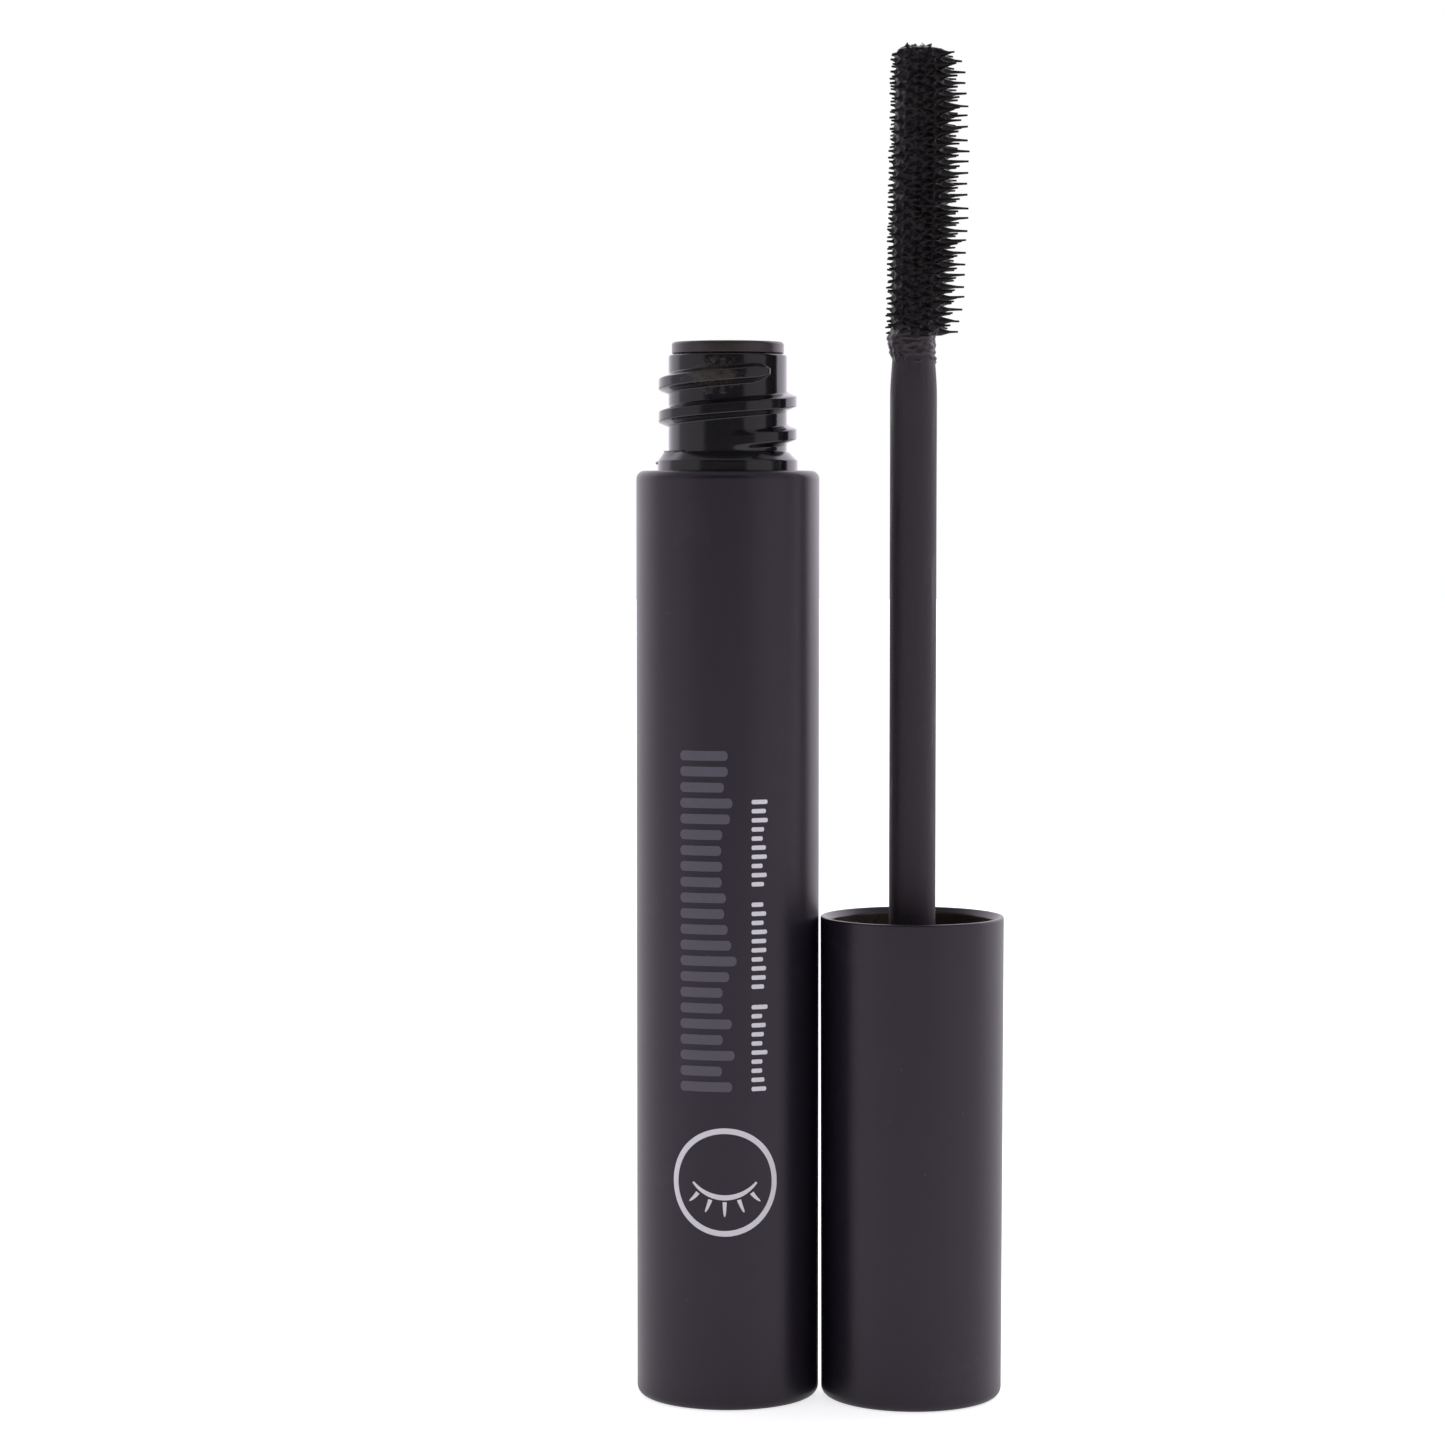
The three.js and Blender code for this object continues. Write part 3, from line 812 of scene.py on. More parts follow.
# a thin patch of ink on the tube from a grid of flat places (across, up), closed all round
def inkPatch(grid, around=False):
    look = printLayout
    radius = tubeRadius + look["lift"]
    points = []
    for lift in (0, look["inkThickness"]):
        for row in grid:
            for across, up in row:
                angle = math.radians(look["emblemAngle"]) + across / tubeRadius
                reach = radius + lift
                points.append(bottleAxis + Vector((reach * math.sin(angle), -reach * math.cos(angle),
                                                   look["emblemHeight"] + up)))
    wide = len(grid[0])
    tall = len(grid)
    under = wide * tall
    faces = []
    for row in range(tall if around else tall - 1):
        after = (row + 1) % tall
        for place in range(wide - 1):
            a, b = row * wide + place, row * wide + place + 1
            c, d = after * wide + place + 1, after * wide + place
            faces.append([under + a, under + b, under + c, under + d])
            faces.append([d, c, b, a])
        for a, d in ((row * wide, after * wide), (after * wide + wide - 1, row * wide + wide - 1)):
            faces.append([a, under + a, under + d, d])
    if not around:
        for place in range(wide - 1):
            first, last = place, (tall - 1) * wide + place
            faces.append([first, first + 1, under + first + 1, under + first])
            faces.append([last + 1, last, under + last, under + last + 1])
    return points, faces


emblemShape = {
    "radius": 5.3,
    "line": 0.55,
    "ringSteps": 144,
    "lidRadius": 4.1,
    "lidLift": 2.6,
    "lidWidth": 0.5,
    "lidThinning": 0.6,
    "lidFrom": -140,        # degrees from the right, round the lid's centre
    "lidSpan": 100,
    "lidSteps": 40,
    "lashStep": 18,
    "lashGap": 0.42,
    "lashLength": 1.45,
    "lashShorter": 0.12,
    "lashCurl": 0.1,
    "lashWidth": 0.17,
    "lashTip": 0.04,
    "lashSteps": 8,
}


# a ring with a closed eyelid and its lashes: a plain picture of what the pack holds
def emblem():
    shape = emblemShape
    points = []
    faces = []

    def add(patch):
        more, sides = patch
        first = len(points)
        points.extend(more)
        faces.extend([[first + p for p in face] for face in sides])

    ring = []
    for step in range(shape["ringSteps"]):
        angle = -2 * math.pi * step / shape["ringSteps"]
        reaches = [shape["radius"] - share * shape["line"] for share in (1, 0.5, 0)]
        ring.append([(reach * math.cos(angle), reach * math.sin(angle)) for reach in reaches])
    add(inkPatch(ring, around=True))
    lid = []
    for step in range(shape["lidSteps"] + 1):
        angle = math.radians(shape["lidFrom"] + shape["lidSpan"] * step / shape["lidSteps"])
        middle = abs(step / (shape["lidSteps"] / 2) - 1)
        thick = shape["lidWidth"] * (1 - shape["lidThinning"] * middle ** 2)
        reaches = [shape["lidRadius"] + share * thick / 2 for share in (1, 0, -1)]
        across, up = math.cos(angle), math.sin(angle)
        lid.append([(reach * across, shape["lidLift"] + reach * up) for reach in reaches])
    add(inkPatch(lid))
    for lash in range(-2, 3):
        angle = math.radians(-90 + lash * shape["lashStep"])
        long = shape["lashLength"] - shape["lashShorter"] * abs(lash)
        lashRoot = shape["lidRadius"] + shape["lashGap"]
        start = Vector((lashRoot * math.cos(angle), shape["lidLift"] + lashRoot * math.sin(angle)))
        ahead = Vector((math.cos(angle), math.sin(angle)))
        aside = Vector((-ahead.y, ahead.x))
        strip = []
        for step in range(shape["lashSteps"] + 1):
            along = step / shape["lashSteps"]
            middle = start + ahead * long * along + aside * lash * shape["lashCurl"] * along ** 2
            wide = shape["lashWidth"] * (1 - along) ** 0.5 + shape["lashTip"]
            strip.append([tuple(middle - aside * wide), tuple(middle), tuple(middle + aside * wide)])
        add(inkPatch(strip))
    makePiece("printEmblem", points, faces, [finishes["inkWhite"]], "bottle", "ink_white")


printed = barTree()
layout = printLayout
bars("printBars", layout["greyEdge"], layout["greyWidth"], layout["greyBase"], layout["greyTop"],
     layout["greyBars"], layout["greyFill"], groupSize=100, gap=0, seed=4)
bars("printStrokes", layout["whiteEdge"], layout["whiteWidth"], layout["whiteBase"], layout["whiteTop"],
     layout["whiteStrokes"], layout["strokeFill"], layout["strokesInGroup"], layout["groupGap"], seed=7)
emblem()
print("printing made")


capShape = {
    "draft": 0.13,
    "baseFillet": 0.9,
    "wall": 0.9,
    "floor": 1.4,
    "chamfer": 0.5,
    "ledgeHeight": 22.0,
    "ledge": 0.55,
    "sides": 256,
}


def outerCap():
    shape = capShape
    top, radius = spanOf("outer_cap")[1:]
    end = radius - shape["draft"]
    bore = radius - shape["wall"]
    inner = bore - shape["ledge"]
    outline = filleted([
        (0, 0, 0),
        (end, 0, shape["baseFillet"]),
        (radius, top, 0.16),
        (bore + shape["chamfer"], top, 0.08),
        (bore, top - shape["chamfer"], 0.12),
        (bore, shape["ledgeHeight"], 0.1),
        (inner, shape["ledgeHeight"], 0.1),
        (inner, shape["floor"], 0.5),
        (0, shape["floor"], 0),
    ], steps=7)

    def pick(middle):
        reach = math.hypot(middle.x - applicatorAxis.x, middle.y - applicatorAxis.y)
        return 1 if reach < bore + 0.04 and middle.z > 0.5 else 0

    makeTurned("outerCap", outline, applicatorAxis, shape["sides"], [softTouch, finishes["capLining"]],
               "applicator", "soft_touch", "outer_cap", pick=pick)


innerCapShape = {
    "wall": 0.95,
    "partition": 1.6,
    "partitionTop": 34.15,
    "boss": 3.65,
    "socket": 2.4,
    "socketFloor": 26.15,
    "threadDepth": 0.67,
    "threadPitch": 3.2,
    "threadTurns": 1.1,
    "threadAngle": 225,
    "threadZ": 39.85,
    "fadeTurn": 30,
    "crestHalf": 0.36,
    "flank": 0.44,
}


def innerCap():
    shape = innerCapShape
    foot, top, radius = spanOf("inner_cap")
    bore = radius - shape["wall"]
    under = shape["partitionTop"] - shape["partition"]
    corners = [
        (0, shape["socketFloor"] - 1.4, 0),
        (shape["boss"], shape["socketFloor"] - 1.4, 0.3),
        (shape["boss"], under, 0.3),
        (bore, under, 0.3),
        (bore, foot, 0.1),
        (radius, foot, 0.15),
        (radius, top, 0.15),
        (bore + 0.35, top, 0.06),
        (bore, top - 0.5, 0.1),
    ]
    lower = filleted(corners + [(bore, shape["partitionTop"], 0)])[:-1]
    rest = filleted([
        (bore, top - 1, 0),
        (bore, shape["partitionTop"], 0.3),
        (shape["socket"], shape["partitionTop"], 0.1),
        (shape["socket"], shape["socketFloor"], 0.1),
        (0, shape["socketFloor"], 0),
    ])[1:]
    rows = 90
    wallTop = lower[-1][1]
    wallLow = rest[0][1]
    dense = [(bore, wallTop + (wallLow - wallTop) * row / rows) for row in range(1, rows)]

    def form(angle, r, z):
        if abs(r - bore) > 1e-4 or not wallLow < z < wallTop:
            return r
        rise = 0
        around = math.degrees(angle)
        along = around + 360 * math.ceil((shape["threadAngle"] - around) / 360)
        last = shape["threadAngle"] + shape["threadTurns"] * 360
        while along <= last:
            away = abs(z - shape["threadZ"] - (along - shape["threadAngle"]) / 360 * shape["threadPitch"])
            fade = smooth((along - shape["threadAngle"]) / shape["fadeTurn"])
            fade *= smooth((last - along) / shape["fadeTurn"])
            rise = max(rise, fade * (1 - smooth((away - shape["crestHalf"]) / shape["flank"])))
            along += 360
        return r - rise * shape["threadDepth"]

    makeTurned("innerCap", lower + dense + rest, applicatorAxis, 180, [capGloss], "applicator", "gloss_black",
               "inner_cap", form=form, sharp=50)


def sealWasher():
    foot, top, outer = spanOf("seal_washer")
    inner = 2.45
    outline = filleted([(inner, foot, 0.12), (outer, foot, 0.15), (outer, top, 0.15), (inner, top, 0.12)])
    makeTurned("sealWasher", outline, applicatorAxis, 128, [finishes["sealRubber"]], "seal", "seal_rubber",
               "seal_washer")


stemShape = {
    "core": 1.35,
    "socket": 1.35,
    "taperLength": 6.0,
    "taper": 0.28,
    "pegLength": 8.0,
    "taperSteps": 24,
    "ripple": 0.012,
    "sides": 128,
}


def stemRod():
    shape = stemShape
    foot, top, radius = spanOf("stem")
    tip = radius - shape["taper"]
    floor = top - shape["pegLength"] - 0.1
    taperStart = top - shape["taperLength"]
    outline = filleted([
        (0, floor - 4, 0),
        (shape["core"], floor - 5, 0.3),
        (shape["core"], foot, 0.1),
        (radius, foot, 0.25),
        (radius, taperStart, 0),
        (tip, top, 0.12),
        (shape["socket"], top, 0.05),
        (shape["socket"], floor, 0.1),
        (0, floor, 0),
    ])
    place = max(index for index, (r, z) in enumerate(outline) if abs(z - taperStart) < 1e-6)
    taper = []
    for step in range(1, shape["taperSteps"]):
        share = step / shape["taperSteps"]
        height = taperStart + shape["taperLength"] * share * 0.96
        taper.append((radius - shape["taper"] * smooth(share) ** 1.2, height))
    body = [(radius, foot + 0.5 + (taperStart - foot - 1) * step / 60) for step in range(61)]
    lowPart = [p for p in outline[:place] if p[1] < foot + 0.5 or p[0] < radius - 0.3]
    outline = lowPart + body + [outline[place]] + taper + outline[place + 1:]

    # a slight flat and ripple, as a thin moulding of this length has
    def form(angle, r, z):
        if r < radius - 0.5 or z < foot + 1 or z > top - 1:
            return r
        spot = Vector((math.cos(angle), math.sin(angle), z * 0.12))
        return r - shape["ripple"] * (1 + noise.noise(spot)) * 0.5

    makeTurned("stemRod", outline, applicatorAxis, shape["sides"], [stemPlastic], "applicator",
               "stem_plastic", "stem", form=form)


brushShape = {
    "pegLength": 8.0,
    "peg": 1.25,
    "shoulder": 1.97,
    "coreRadius": 1.85,
    "topDrop": 0.45,
    "lean": 0.87,           # degrees, towards the comb
    "rows": 12,
    "pitch": 1.1,
    "firstSpike": 0.55,
    "spikesBelowTip": 1.5,
    "longReach": 5.05,
    "shortReach": 2.72,
    "combSharpness": 3.5,
    "combBulge": 0.9,
    "spikeWidth": 1.0,
    "sunk": 0.3,
    "betweenExtra": 0.3,    # how much further the rows between reach behind the comb
    "bend": 0.1,
    "unevenness": 0.09,
    "seed": 11,
}


brushRoot = boxOf("brush")[0].z + brushShape["pegLength"]
brushTop = boxOf("brush")[1].z


def leaning(point):
    above = max(0, point.z - brushRoot - 0.1)
    return Vector((point.x + above * math.tan(math.radians(brushShape["lean"])), point.y, point.z))


def spikeReach(row, along):
    shape = brushShape
    facing = ((1 + math.cos(2 * math.pi * row / shape["rows"])) / 2) ** shape["combSharpness"]
    bulge = shape["combBulge"] * facing * (2 * along - 1) ** 4
    between = shape["betweenExtra"] * (row % 2) * (1 - facing)
    return shape["shortReach"] + (shape["longReach"] - shape["shortReach"]) * facing - bulge + between


def brushCore():
    shape = brushShape
    root, tip = brushRoot, brushTop
    peg, shoulder = shape["peg"], shape["shoulder"]
    end = tip - shape["topDrop"]
    outline = filleted([
        (0, root - shape["pegLength"], 0),
        (peg, root - shape["pegLength"], 0.2),
        (peg, root + 0.1, 0),
        (shoulder, root + 0.1, 0.08),
        (shoulder, root + 0.7, 0.1),
        (shape["coreRadius"], root + 1, 0.1),
        (shape["coreRadius"], end, 0.9),
        (0, end, 0),
    ])
    makeTurned("brushCore", outline, applicatorAxis, 96, [finishes["brushElastomer"]], "applicator",
               "brush_rubber", "brush", place=leaning)


# rows of tapered spikes round a core, long on one side as a comb and short behind it
spikeForm = {
    "sides": 6,
    "tip": 0.24,            # both radii are shares of the base's width
    "foot": 0.5,
    "hollow": 2.2,          # how fast the foot's flare dies out
    "flare": 0.58,
    "waist": 0.42,
    "lift": 0.02,           # a slight upward aim
    "tilt": 0.035,
}


def spikeTree():
    tree, given, out = newGroup("comb spikes", "GeometryNodeTree", {
        "Rows": 12,
        "Spikes In Row": 23,
        "Pitch": 0.0011,
        "First Height": 0.105,
        "Core Radius": 0.00185,
        "Sunk": 0.0003,
        "Short Reach": 0.0026,
        "Long Reach": 0.005,
        "Sharpness": 3.5,
        "Bulge": 0.0009,
        "Between Extra": 0.0003,
        "Base Width": 0.0005,
        "Bend": 0.1,
        "Unevenness": 0.0001,
        "Seed": 1,
        "Rubber": "Material",
    }, {"Geometry": "Geometry"})
    tree.is_modifier = True
    plus, minus, times, over = sumsFor(tree, "ADD", "SUBTRACT", "MULTIPLY", "DIVIDE")
    index = put(tree, "GeometryNodeInputIndex").outputs[0]
    row = calc(tree, "FLOOR", over(index, given["Spikes In Row"]))
    place = minus(index, times(row, given["Spikes In Row"]))
    angle = over(times(row, 2 * math.pi), given["Rows"])
    odd = calc(tree, "MODULO", row, 2.0)
    steps = plus(place, times(odd, 0.5))
    height = plus(times(steps, given["Pitch"]), given["First Height"])
    along = over(plus(place, 0.5), given["Spikes In Row"])
    cosine = calc(tree, "COSINE", angle)
    sine = calc(tree, "SINE", angle)
    facing = calc(tree, "POWER", calc(tree, "MULTIPLY_ADD", cosine, 0.5, 0.5), given["Sharpness"])
    ends = calc(tree, "POWER", calc(tree, "ABSOLUTE", calc(tree, "MULTIPLY_ADD", along, 2.0, -1.0)), 4.0)
    extra = minus(given["Long Reach"], given["Short Reach"])
    reach = plus(given["Short Reach"], times(extra, facing))
    reach = minus(reach, times(times(given["Bulge"], facing), ends))
    behind = times(odd, minus(1.0, facing))
    reach = plus(reach, times(given["Between Extra"], behind))
    start = minus(given["Core Radius"], given["Sunk"])
    spot = put(tree, "ShaderNodeCombineXYZ", {
        "X": times(cosine, start), "Y": times(sine, start), "Z": height})
    dots = put(tree, "GeometryNodePoints", {
        "Count": times(given["Rows"], given["Spikes In Row"]), "Position": spot.outputs[0]})
    cone = put(tree, "GeometryNodeMeshCone", {
        "Vertices": spikeForm["sides"], "Side Segments": 6, "Radius Top": spikeForm["tip"],
        "Radius Bottom": spikeForm["foot"], "Depth": 1.0})
    here = put(tree, "ShaderNodeSeparateXYZ", {0: put(tree, "GeometryNodeInputPosition").outputs[0]})
    left = minus(1.0, here.outputs[2])
    slim = calc(tree, "POWER", calc(tree, "MAXIMUM", left, 0.0), spikeForm["hollow"])
    slim = calc(tree, "MULTIPLY_ADD", slim, spikeForm["flare"], spikeForm["waist"])
    bow = times(times(here.outputs[2], here.outputs[2]), given["Bend"])
    shaped = put(tree, "ShaderNodeCombineXYZ", {
        "X": plus(times(here.outputs[0], slim), bow),
        "Y": times(here.outputs[1], slim), "Z": here.outputs[2]})
    spike = put(tree, "GeometryNodeSetPosition", {"Geometry": cone.outputs[0], "Position": shaped.outputs[0]})
    tilt = spikeForm["tilt"]
    wobble = randomValue(tree, (-tilt, -tilt, -tilt), (tilt, tilt, tilt), given["Seed"], "FLOAT_VECTOR")
    outward = put(tree, "ShaderNodeCombineXYZ", {"X": cosine, "Y": sine, "Z": spikeForm["lift"]})
    aim = put(tree, "ShaderNodeVectorMath", {0: outward.outputs[0], 1: wobble}, operation="ADD")
    facingOut = put(tree, "FunctionNodeAlignRotationToVector", {"Vector": aim.outputs[0]}, axis="Z")
    twist = randomValue(tree, 0.0, 2 * math.pi, plus(given["Seed"], 1.0))
    spin = put(tree, "FunctionNodeAxisAngleToRotation", {"Axis": (0, 0, 1), "Angle": twist})
    rotation = put(tree, "FunctionNodeRotateRotation", {
        0: facingOut.outputs[0], 1: spin.outputs[0]}, rotation_space="LOCAL")
    shorter = times(given["Unevenness"], -1.0)
    uneven = randomValue(tree, shorter, given["Unevenness"], plus(given["Seed"], 2.0))
    length = plus(minus(reach, start), uneven)
    stretch = put(tree, "ShaderNodeCombineXYZ", {
        "X": given["Base Width"], "Y": given["Base Width"], "Z": length})
    copies = put(tree, "GeometryNodeInstanceOnPoints", {
        "Points": dots.outputs[0], "Instance": spike.outputs[0], "Rotation": rotation.outputs[0],
        "Scale": stretch.outputs[0]})
    real = put(tree, "GeometryNodeRealizeInstances", {"Geometry": copies.outputs[0]})
    coated = put(tree, "GeometryNodeSetMaterial", {"Geometry": real.outputs[0], "Material": given["Rubber"]})
    plug(tree, out["Geometry"], coated.outputs[0])
    return tree


def brushSpikes():
    shape = brushShape
    root, tip = brushRoot, brushTop
    inRow = int((tip - root - shape["firstSpike"] - shape["spikesBelowTip"]) / shape["pitch"]) + 1
    mesh = grow("brushSpikes", spikeTree(), {
        "Rows": shape["rows"], "Spikes In Row": inRow, "Pitch": shape["pitch"] * mm,
        "First Height": (root + shape["firstSpike"]) * mm, "Core Radius": shape["coreRadius"] * mm,
        "Sunk": shape["sunk"] * mm,
        "Short Reach": shape["shortReach"] * mm, "Long Reach": shape["longReach"] * mm,
        "Sharpness": shape["combSharpness"], "Bulge": shape["combBulge"] * mm,
        "Between Extra": shape["betweenExtra"] * mm, "Base Width": shape["spikeWidth"] * mm,
        "Bend": shape["bend"], "Unevenness": shape["unevenness"] * mm, "Seed": shape["seed"],
        "Rubber": finishes["brushElastomer"]})
    for vertex in mesh.vertices:
        vertex.co = leaning(vertex.co / mm + applicatorAxis) * mm
    finishPiece("brushSpikes", mesh, None, "applicator", "brush", sharp=60)
    return inRow


pasteCoat = {
    "radius": 2.08,
    "combSide": 0.3,        # how much thicker the coat is on the comb's side
    "lumps": 0.16,
    "web": 0.8,
    "webWidth": 0.31,
    "webPeak": 1.5,
    "footRise": 0.2,
    "topDrop": 0.25,
    "around": 132,
    "rowStep": 0.07,
}


# the product left on the brush: a lumpy sleeve with a web climbing each spike
def brushPaste(inRow):
    shape = brushShape
    coat = pasteCoat
    root, tip = brushRoot, brushTop
    low = root + coat["footRise"]
    high = tip - coat["topDrop"]
    rows = int((high - low) / coat["rowStep"])
    outline = [(0, low - 0.05)]
    for row in range(rows + 1):
        z = low + (high - low) * row / rows
        outline.append((coat["radius"] * math.sqrt(max(0.02, min(1, (high + 0.1 - z) / 0.4))), z))
    outline.append((0, high + 0.02))

    def form(angle, radius, z):
        spot = Vector((math.cos(angle) * 3.2, math.sin(angle) * 3.2, z * 1.7))
        moved = radius + coat["lumps"] * noise.fractal(spot, 0.7, 2.0, 3)
        moved += coat["combSide"] * max(0, math.cos(angle)) ** 2 * min(1, radius / coat["radius"])
        turn = angle / (2 * math.pi) * shape["rows"]
        best = 0
        for row in (math.floor(turn), math.floor(turn) + 1):
            beside = abs(turn - row) / shape["rows"] * 2 * math.pi * radius
            odd = row % shape["rows"] % 2
            step = (z - root - shape["firstSpike"]) / shape["pitch"] - odd * 0.5
            nearest = min(max(0, round(step)), inRow - 1)
            along = (nearest + 0.5) / inRow
            reach = spikeReach(row % shape["rows"], along) - coat["radius"]
            offset = math.hypot(beside, (step - nearest) * shape["pitch"])
            wet = 0.75 + 0.5 * noise.noise(Vector((row * 3.1, nearest * 1.7, 0.5)))
            fall = math.exp(-(offset / coat["webWidth"]) ** coat["webPeak"])
            best = max(best, coat["web"] * wet * reach * fall)
        return moved + best

    makeTurned("brushPaste", outline, applicatorAxis, coat["around"], [finishes["wetPaste"]], "applicator",
               "paste", form=form, place=leaning, sharp=180)


residue = {
    "low": 101.2,
    "high": 105.75,
    "ragged": 1.5,          # how far the lower edge wanders
    "bulge": 0.45,
    "bulgeAngle": 190,      # degrees from +X, where the film hangs furthest out
    "rows": 46,
    "around": 112,
    "wrinkle": 0.05,
    "lump": 0.16,
    "flakes": 30,
    "flakeSize": (0.26, 0.62),
    "flakeReach": 1.85,
    "flakeHalf": 0.035,     # half of a flake's thickness
    "seed": 5,
}


# the film of product that hangs where the brush meets the stem
def junctionResidue():
    look = residue
    middle, stemRadius = spanOf("stem")[1:]
    stemTip = stemRadius - stemShape["taper"]
    rows = look["rows"]
    outline = [(stemTip - 0.3, look["high"]), (stemTip - 0.3, look["low"] + 0.2)]
    for row in range(rows + 1):
        share = row / rows
        z = look["low"] + (look["high"] - look["low"]) * share
        outline.append((stemTip - 0.02 + 0.06 * smooth(share * 1.2), z))

    def form(angle, radius, z):
        if radius < stemTip - 0.29:
            return radius
        spot = Vector((math.cos(angle) * 1.6, math.sin(angle) * 1.6, z * 1.2))
        facing = max(0, math.cos(angle - math.radians(look["bulgeAngle"])))
        edge = look["low"] + look["ragged"] * (0.5 + noise.fractal(Vector((spot.x, spot.y, 0)), 0.8, 2.0, 3))
        share = (z - edge) / (look["high"] - edge)
        if share < 0:
            return stemTip - 0.2
        swell = look["bulge"] * facing ** 1.5 * smooth(share * 1.6) * smooth((1 - share) * 3)
        wrinkle = look["wrinkle"] * math.sin(z * 8 + 2.6 * noise.noise(spot))
        lump = look["lump"] * noise.fractal(spot * 1.4, 0.8, 2.0, 3)
        wide = max(0, middle - z) * 0.035
        return radius + wide + swell + smooth(share * 4) * (0.05 + wrinkle + lump)

    makeTurned("junctionResidue", outline, applicatorAxis, look["around"], [finishes["pasteOnStem"]],
               "applicator", "paste", form=form, place=leaning, sharp=180)


# dried crumbs and flakes of product on the blunt top of the brush, their finish dark with painted highlight
# patches
def tipFlakes():
    look = residue
    chance = random.Random(look["seed"])
    points = []
    faces = []
    for flake in range(look["flakes"]):
        around = chance.uniform(0, 2 * math.pi)
        reach = look["flakeReach"] * math.sqrt(chance.uniform(0, 1))
        middle = applicatorAxis + Vector((reach * math.cos(around), reach * math.sin(around), 0))
        middle.z = brushTop - 0.2 - 0.3 * (reach / look["flakeReach"]) ** 2 + chance.uniform(-0.05, 0.12)
        size = chance.uniform(*look["flakeSize"])
        tilt = Vector((chance.uniform(-0.9, 0.9), chance.uniform(-0.9, 0.9), 1)).normalized()
        side = tilt.orthogonal().normalized()
        other = tilt.cross(side)
        sides = chance.choice((5, 6, 7))
        first = len(points)
        spin = chance.uniform(0, 6)
        for level in (-look["flakeHalf"], look["flakeHalf"]):
            for corner in range(sides):
                angle = spin + 2 * math.pi * corner / sides
                long = size * (0.75 + 0.35 * math.sin(corner * 2.3 + spin))
                spot = middle + side * long * math.cos(angle)
                points.append(spot + other * long * math.sin(angle) * 0.7 + tilt * level)
        for corner in range(sides):
            after = (corner + 1) % sides
            faces.append([first + corner, first + after, first + sides + after, first + sides + corner])
        faces.append([first + corner for corner in reversed(range(sides))])
        faces.append([first + sides + corner for corner in range(sides)])
    points = [leaning(point) for point in points]
    makePiece("tipFlakes", points, faces, [finishes["driedPastePaintedHighlights"]], "applicator", "paste", sharp=25)


outerCap()
innerCap()
sealWasher()
stemRod()
brushCore()
spikesInRow = brushSpikes()
brushPaste(spikesInRow)
junctionResidue()
tipFlakes()
print("applicator made")


studio = {
    "cameraPlace": (-9.65, -389.97, 89.2),
    "tiltDown": 3.29,
    "lens": 98.72,
    "sensor": 36,
    "floorSize": 6.0,
    # light round the object: degrees from the camera's side, towards +X, and how bright it is there
    "surround": [(-180, 1.6), (-112, 1.55), (-106, 0.65), (-50, 0.62), (-43, 0.07), (29, 0.06), (33, 0.6),
                 (77, 0.72), (80, 0.05), (95, 0.05), (98, 2.4), (180, 1.7)],
    "overhead": 0.5,
    "floorGlow": 0.42,
    "lightTint": (1.0, 0.94, 1.04, 1),
    "floorGlowSeen": 0.75,
}


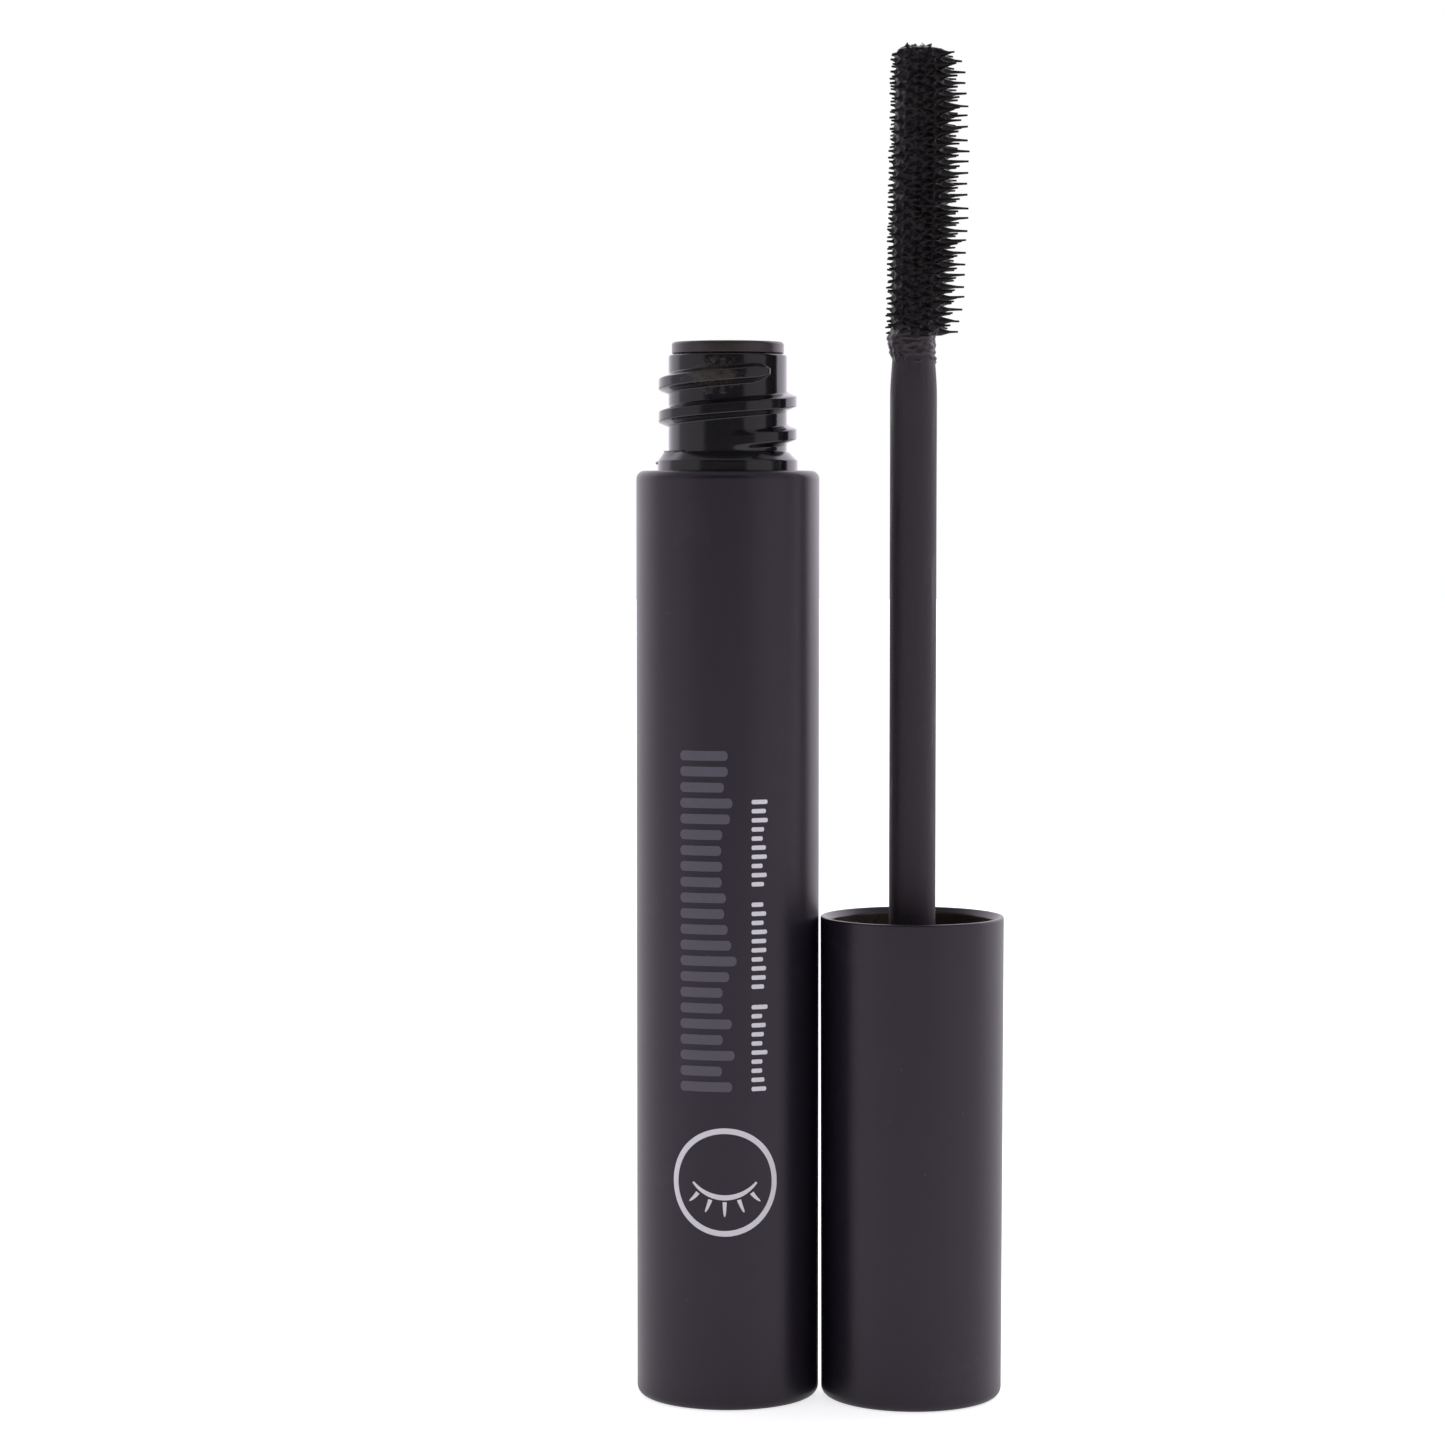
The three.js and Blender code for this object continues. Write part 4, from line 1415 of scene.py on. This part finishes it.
def studioWorld():
    world = bpy.data.worlds.new("studioWorld")
    bpy.context.scene.world = world
    world.use_nodes = True
    tree = world.node_tree
    tree.nodes.clear()
    around = tree.nodes.new("ShaderNodeTexCoord").outputs["Generated"]
    toward = put(tree, "ShaderNodeSeparateXYZ", {0: around})
    azimuth = calc(tree, "ARCTAN2", toward.outputs[0], calc(tree, "MULTIPLY", toward.outputs[1], -1.0))
    share = calc(tree, "MULTIPLY_ADD", azimuth, 0.5 / math.pi, 0.5)
    ramp = put(tree, "ShaderNodeValToRGB", {0: share})
    stops = ramp.color_ramp.elements
    middle = studio["surround"][1:-1]
    for degrees, bright in middle:
        stops.new((degrees + 180) / 360)
    for stop, (degrees, bright) in zip(stops, studio["surround"]):
        stop.color = (bright / 2, bright / 2, bright / 2, 1)
    sides = calc(tree, "MULTIPLY", ramp.outputs[0], 2.0)
    high = put(tree, "ShaderNodeMapRange", {
        "Value": toward.outputs[2], "From Min": 0.66, "From Max": 0.74, "To Min": 0.0, "To Max": 1.0})
    light = mixValue(tree, high.outputs[0], sides, studio["overhead"])
    seen = put(tree, "ShaderNodeLightPath").outputs["Is Camera Ray"]
    strength = mixValue(tree, seen, light, 1.0)
    colour = mixColour(tree, seen, studio["lightTint"], (1, 1, 1, 1))
    back = put(tree, "ShaderNodeBackground", {"Color": colour, "Strength": strength})
    end = put(tree, "ShaderNodeOutputWorld")
    tree.links.new(back.outputs[0], end.inputs[0])


def floorSheet():
    half = studio["floorSize"] / 2
    mesh = bpy.data.meshes.new("floorSheet")
    corners = [(-half, -half, 0), (half, -half, 0), (half, half, 0), (-half, half, 0)]
    mesh.from_pydata(corners, [], [(0, 1, 2, 3)])
    floor = bpy.data.objects.new("floorSheet", mesh)
    bpy.context.scene.collection.objects.link(floor)
    material, tree, shader = startMaterial("floorPaper", {
        "Base Color": (0.86, 0.86, 0.86, 1), "Roughness": 0.7, "Specular IOR Level": 0.2,
        "Emission Color": (1, 1, 1, 1)})[:3]
    seen = put(tree, "ShaderNodeLightPath").outputs["Is Camera Ray"]
    glow = mixValue(tree, seen, studio["floorGlow"], studio["floorGlowSeen"])
    plug(tree, shader.inputs["Emission Strength"], glow)
    mesh.materials.append(material)


def setCamera():
    data = bpy.data.cameras.new("camera")
    data.lens = studio["lens"]
    data.sensor_width = studio["sensor"]
    data.clip_start = 0.01
    data.clip_end = 20
    camera = bpy.data.objects.new("camera", data)
    camera.location = Vector(studio["cameraPlace"]) * mm
    camera.rotation_euler = (math.radians(90 - studio["tiltDown"]), 0, 0)
    bpy.context.scene.collection.objects.link(camera)
    bpy.context.scene.camera = camera


studioWorld()
floorSheet()
setCamera()
bpy.context.scene.view_settings.view_transform = "Standard"
bpy.context.scene.view_settings.look = "None"
print("studio made")
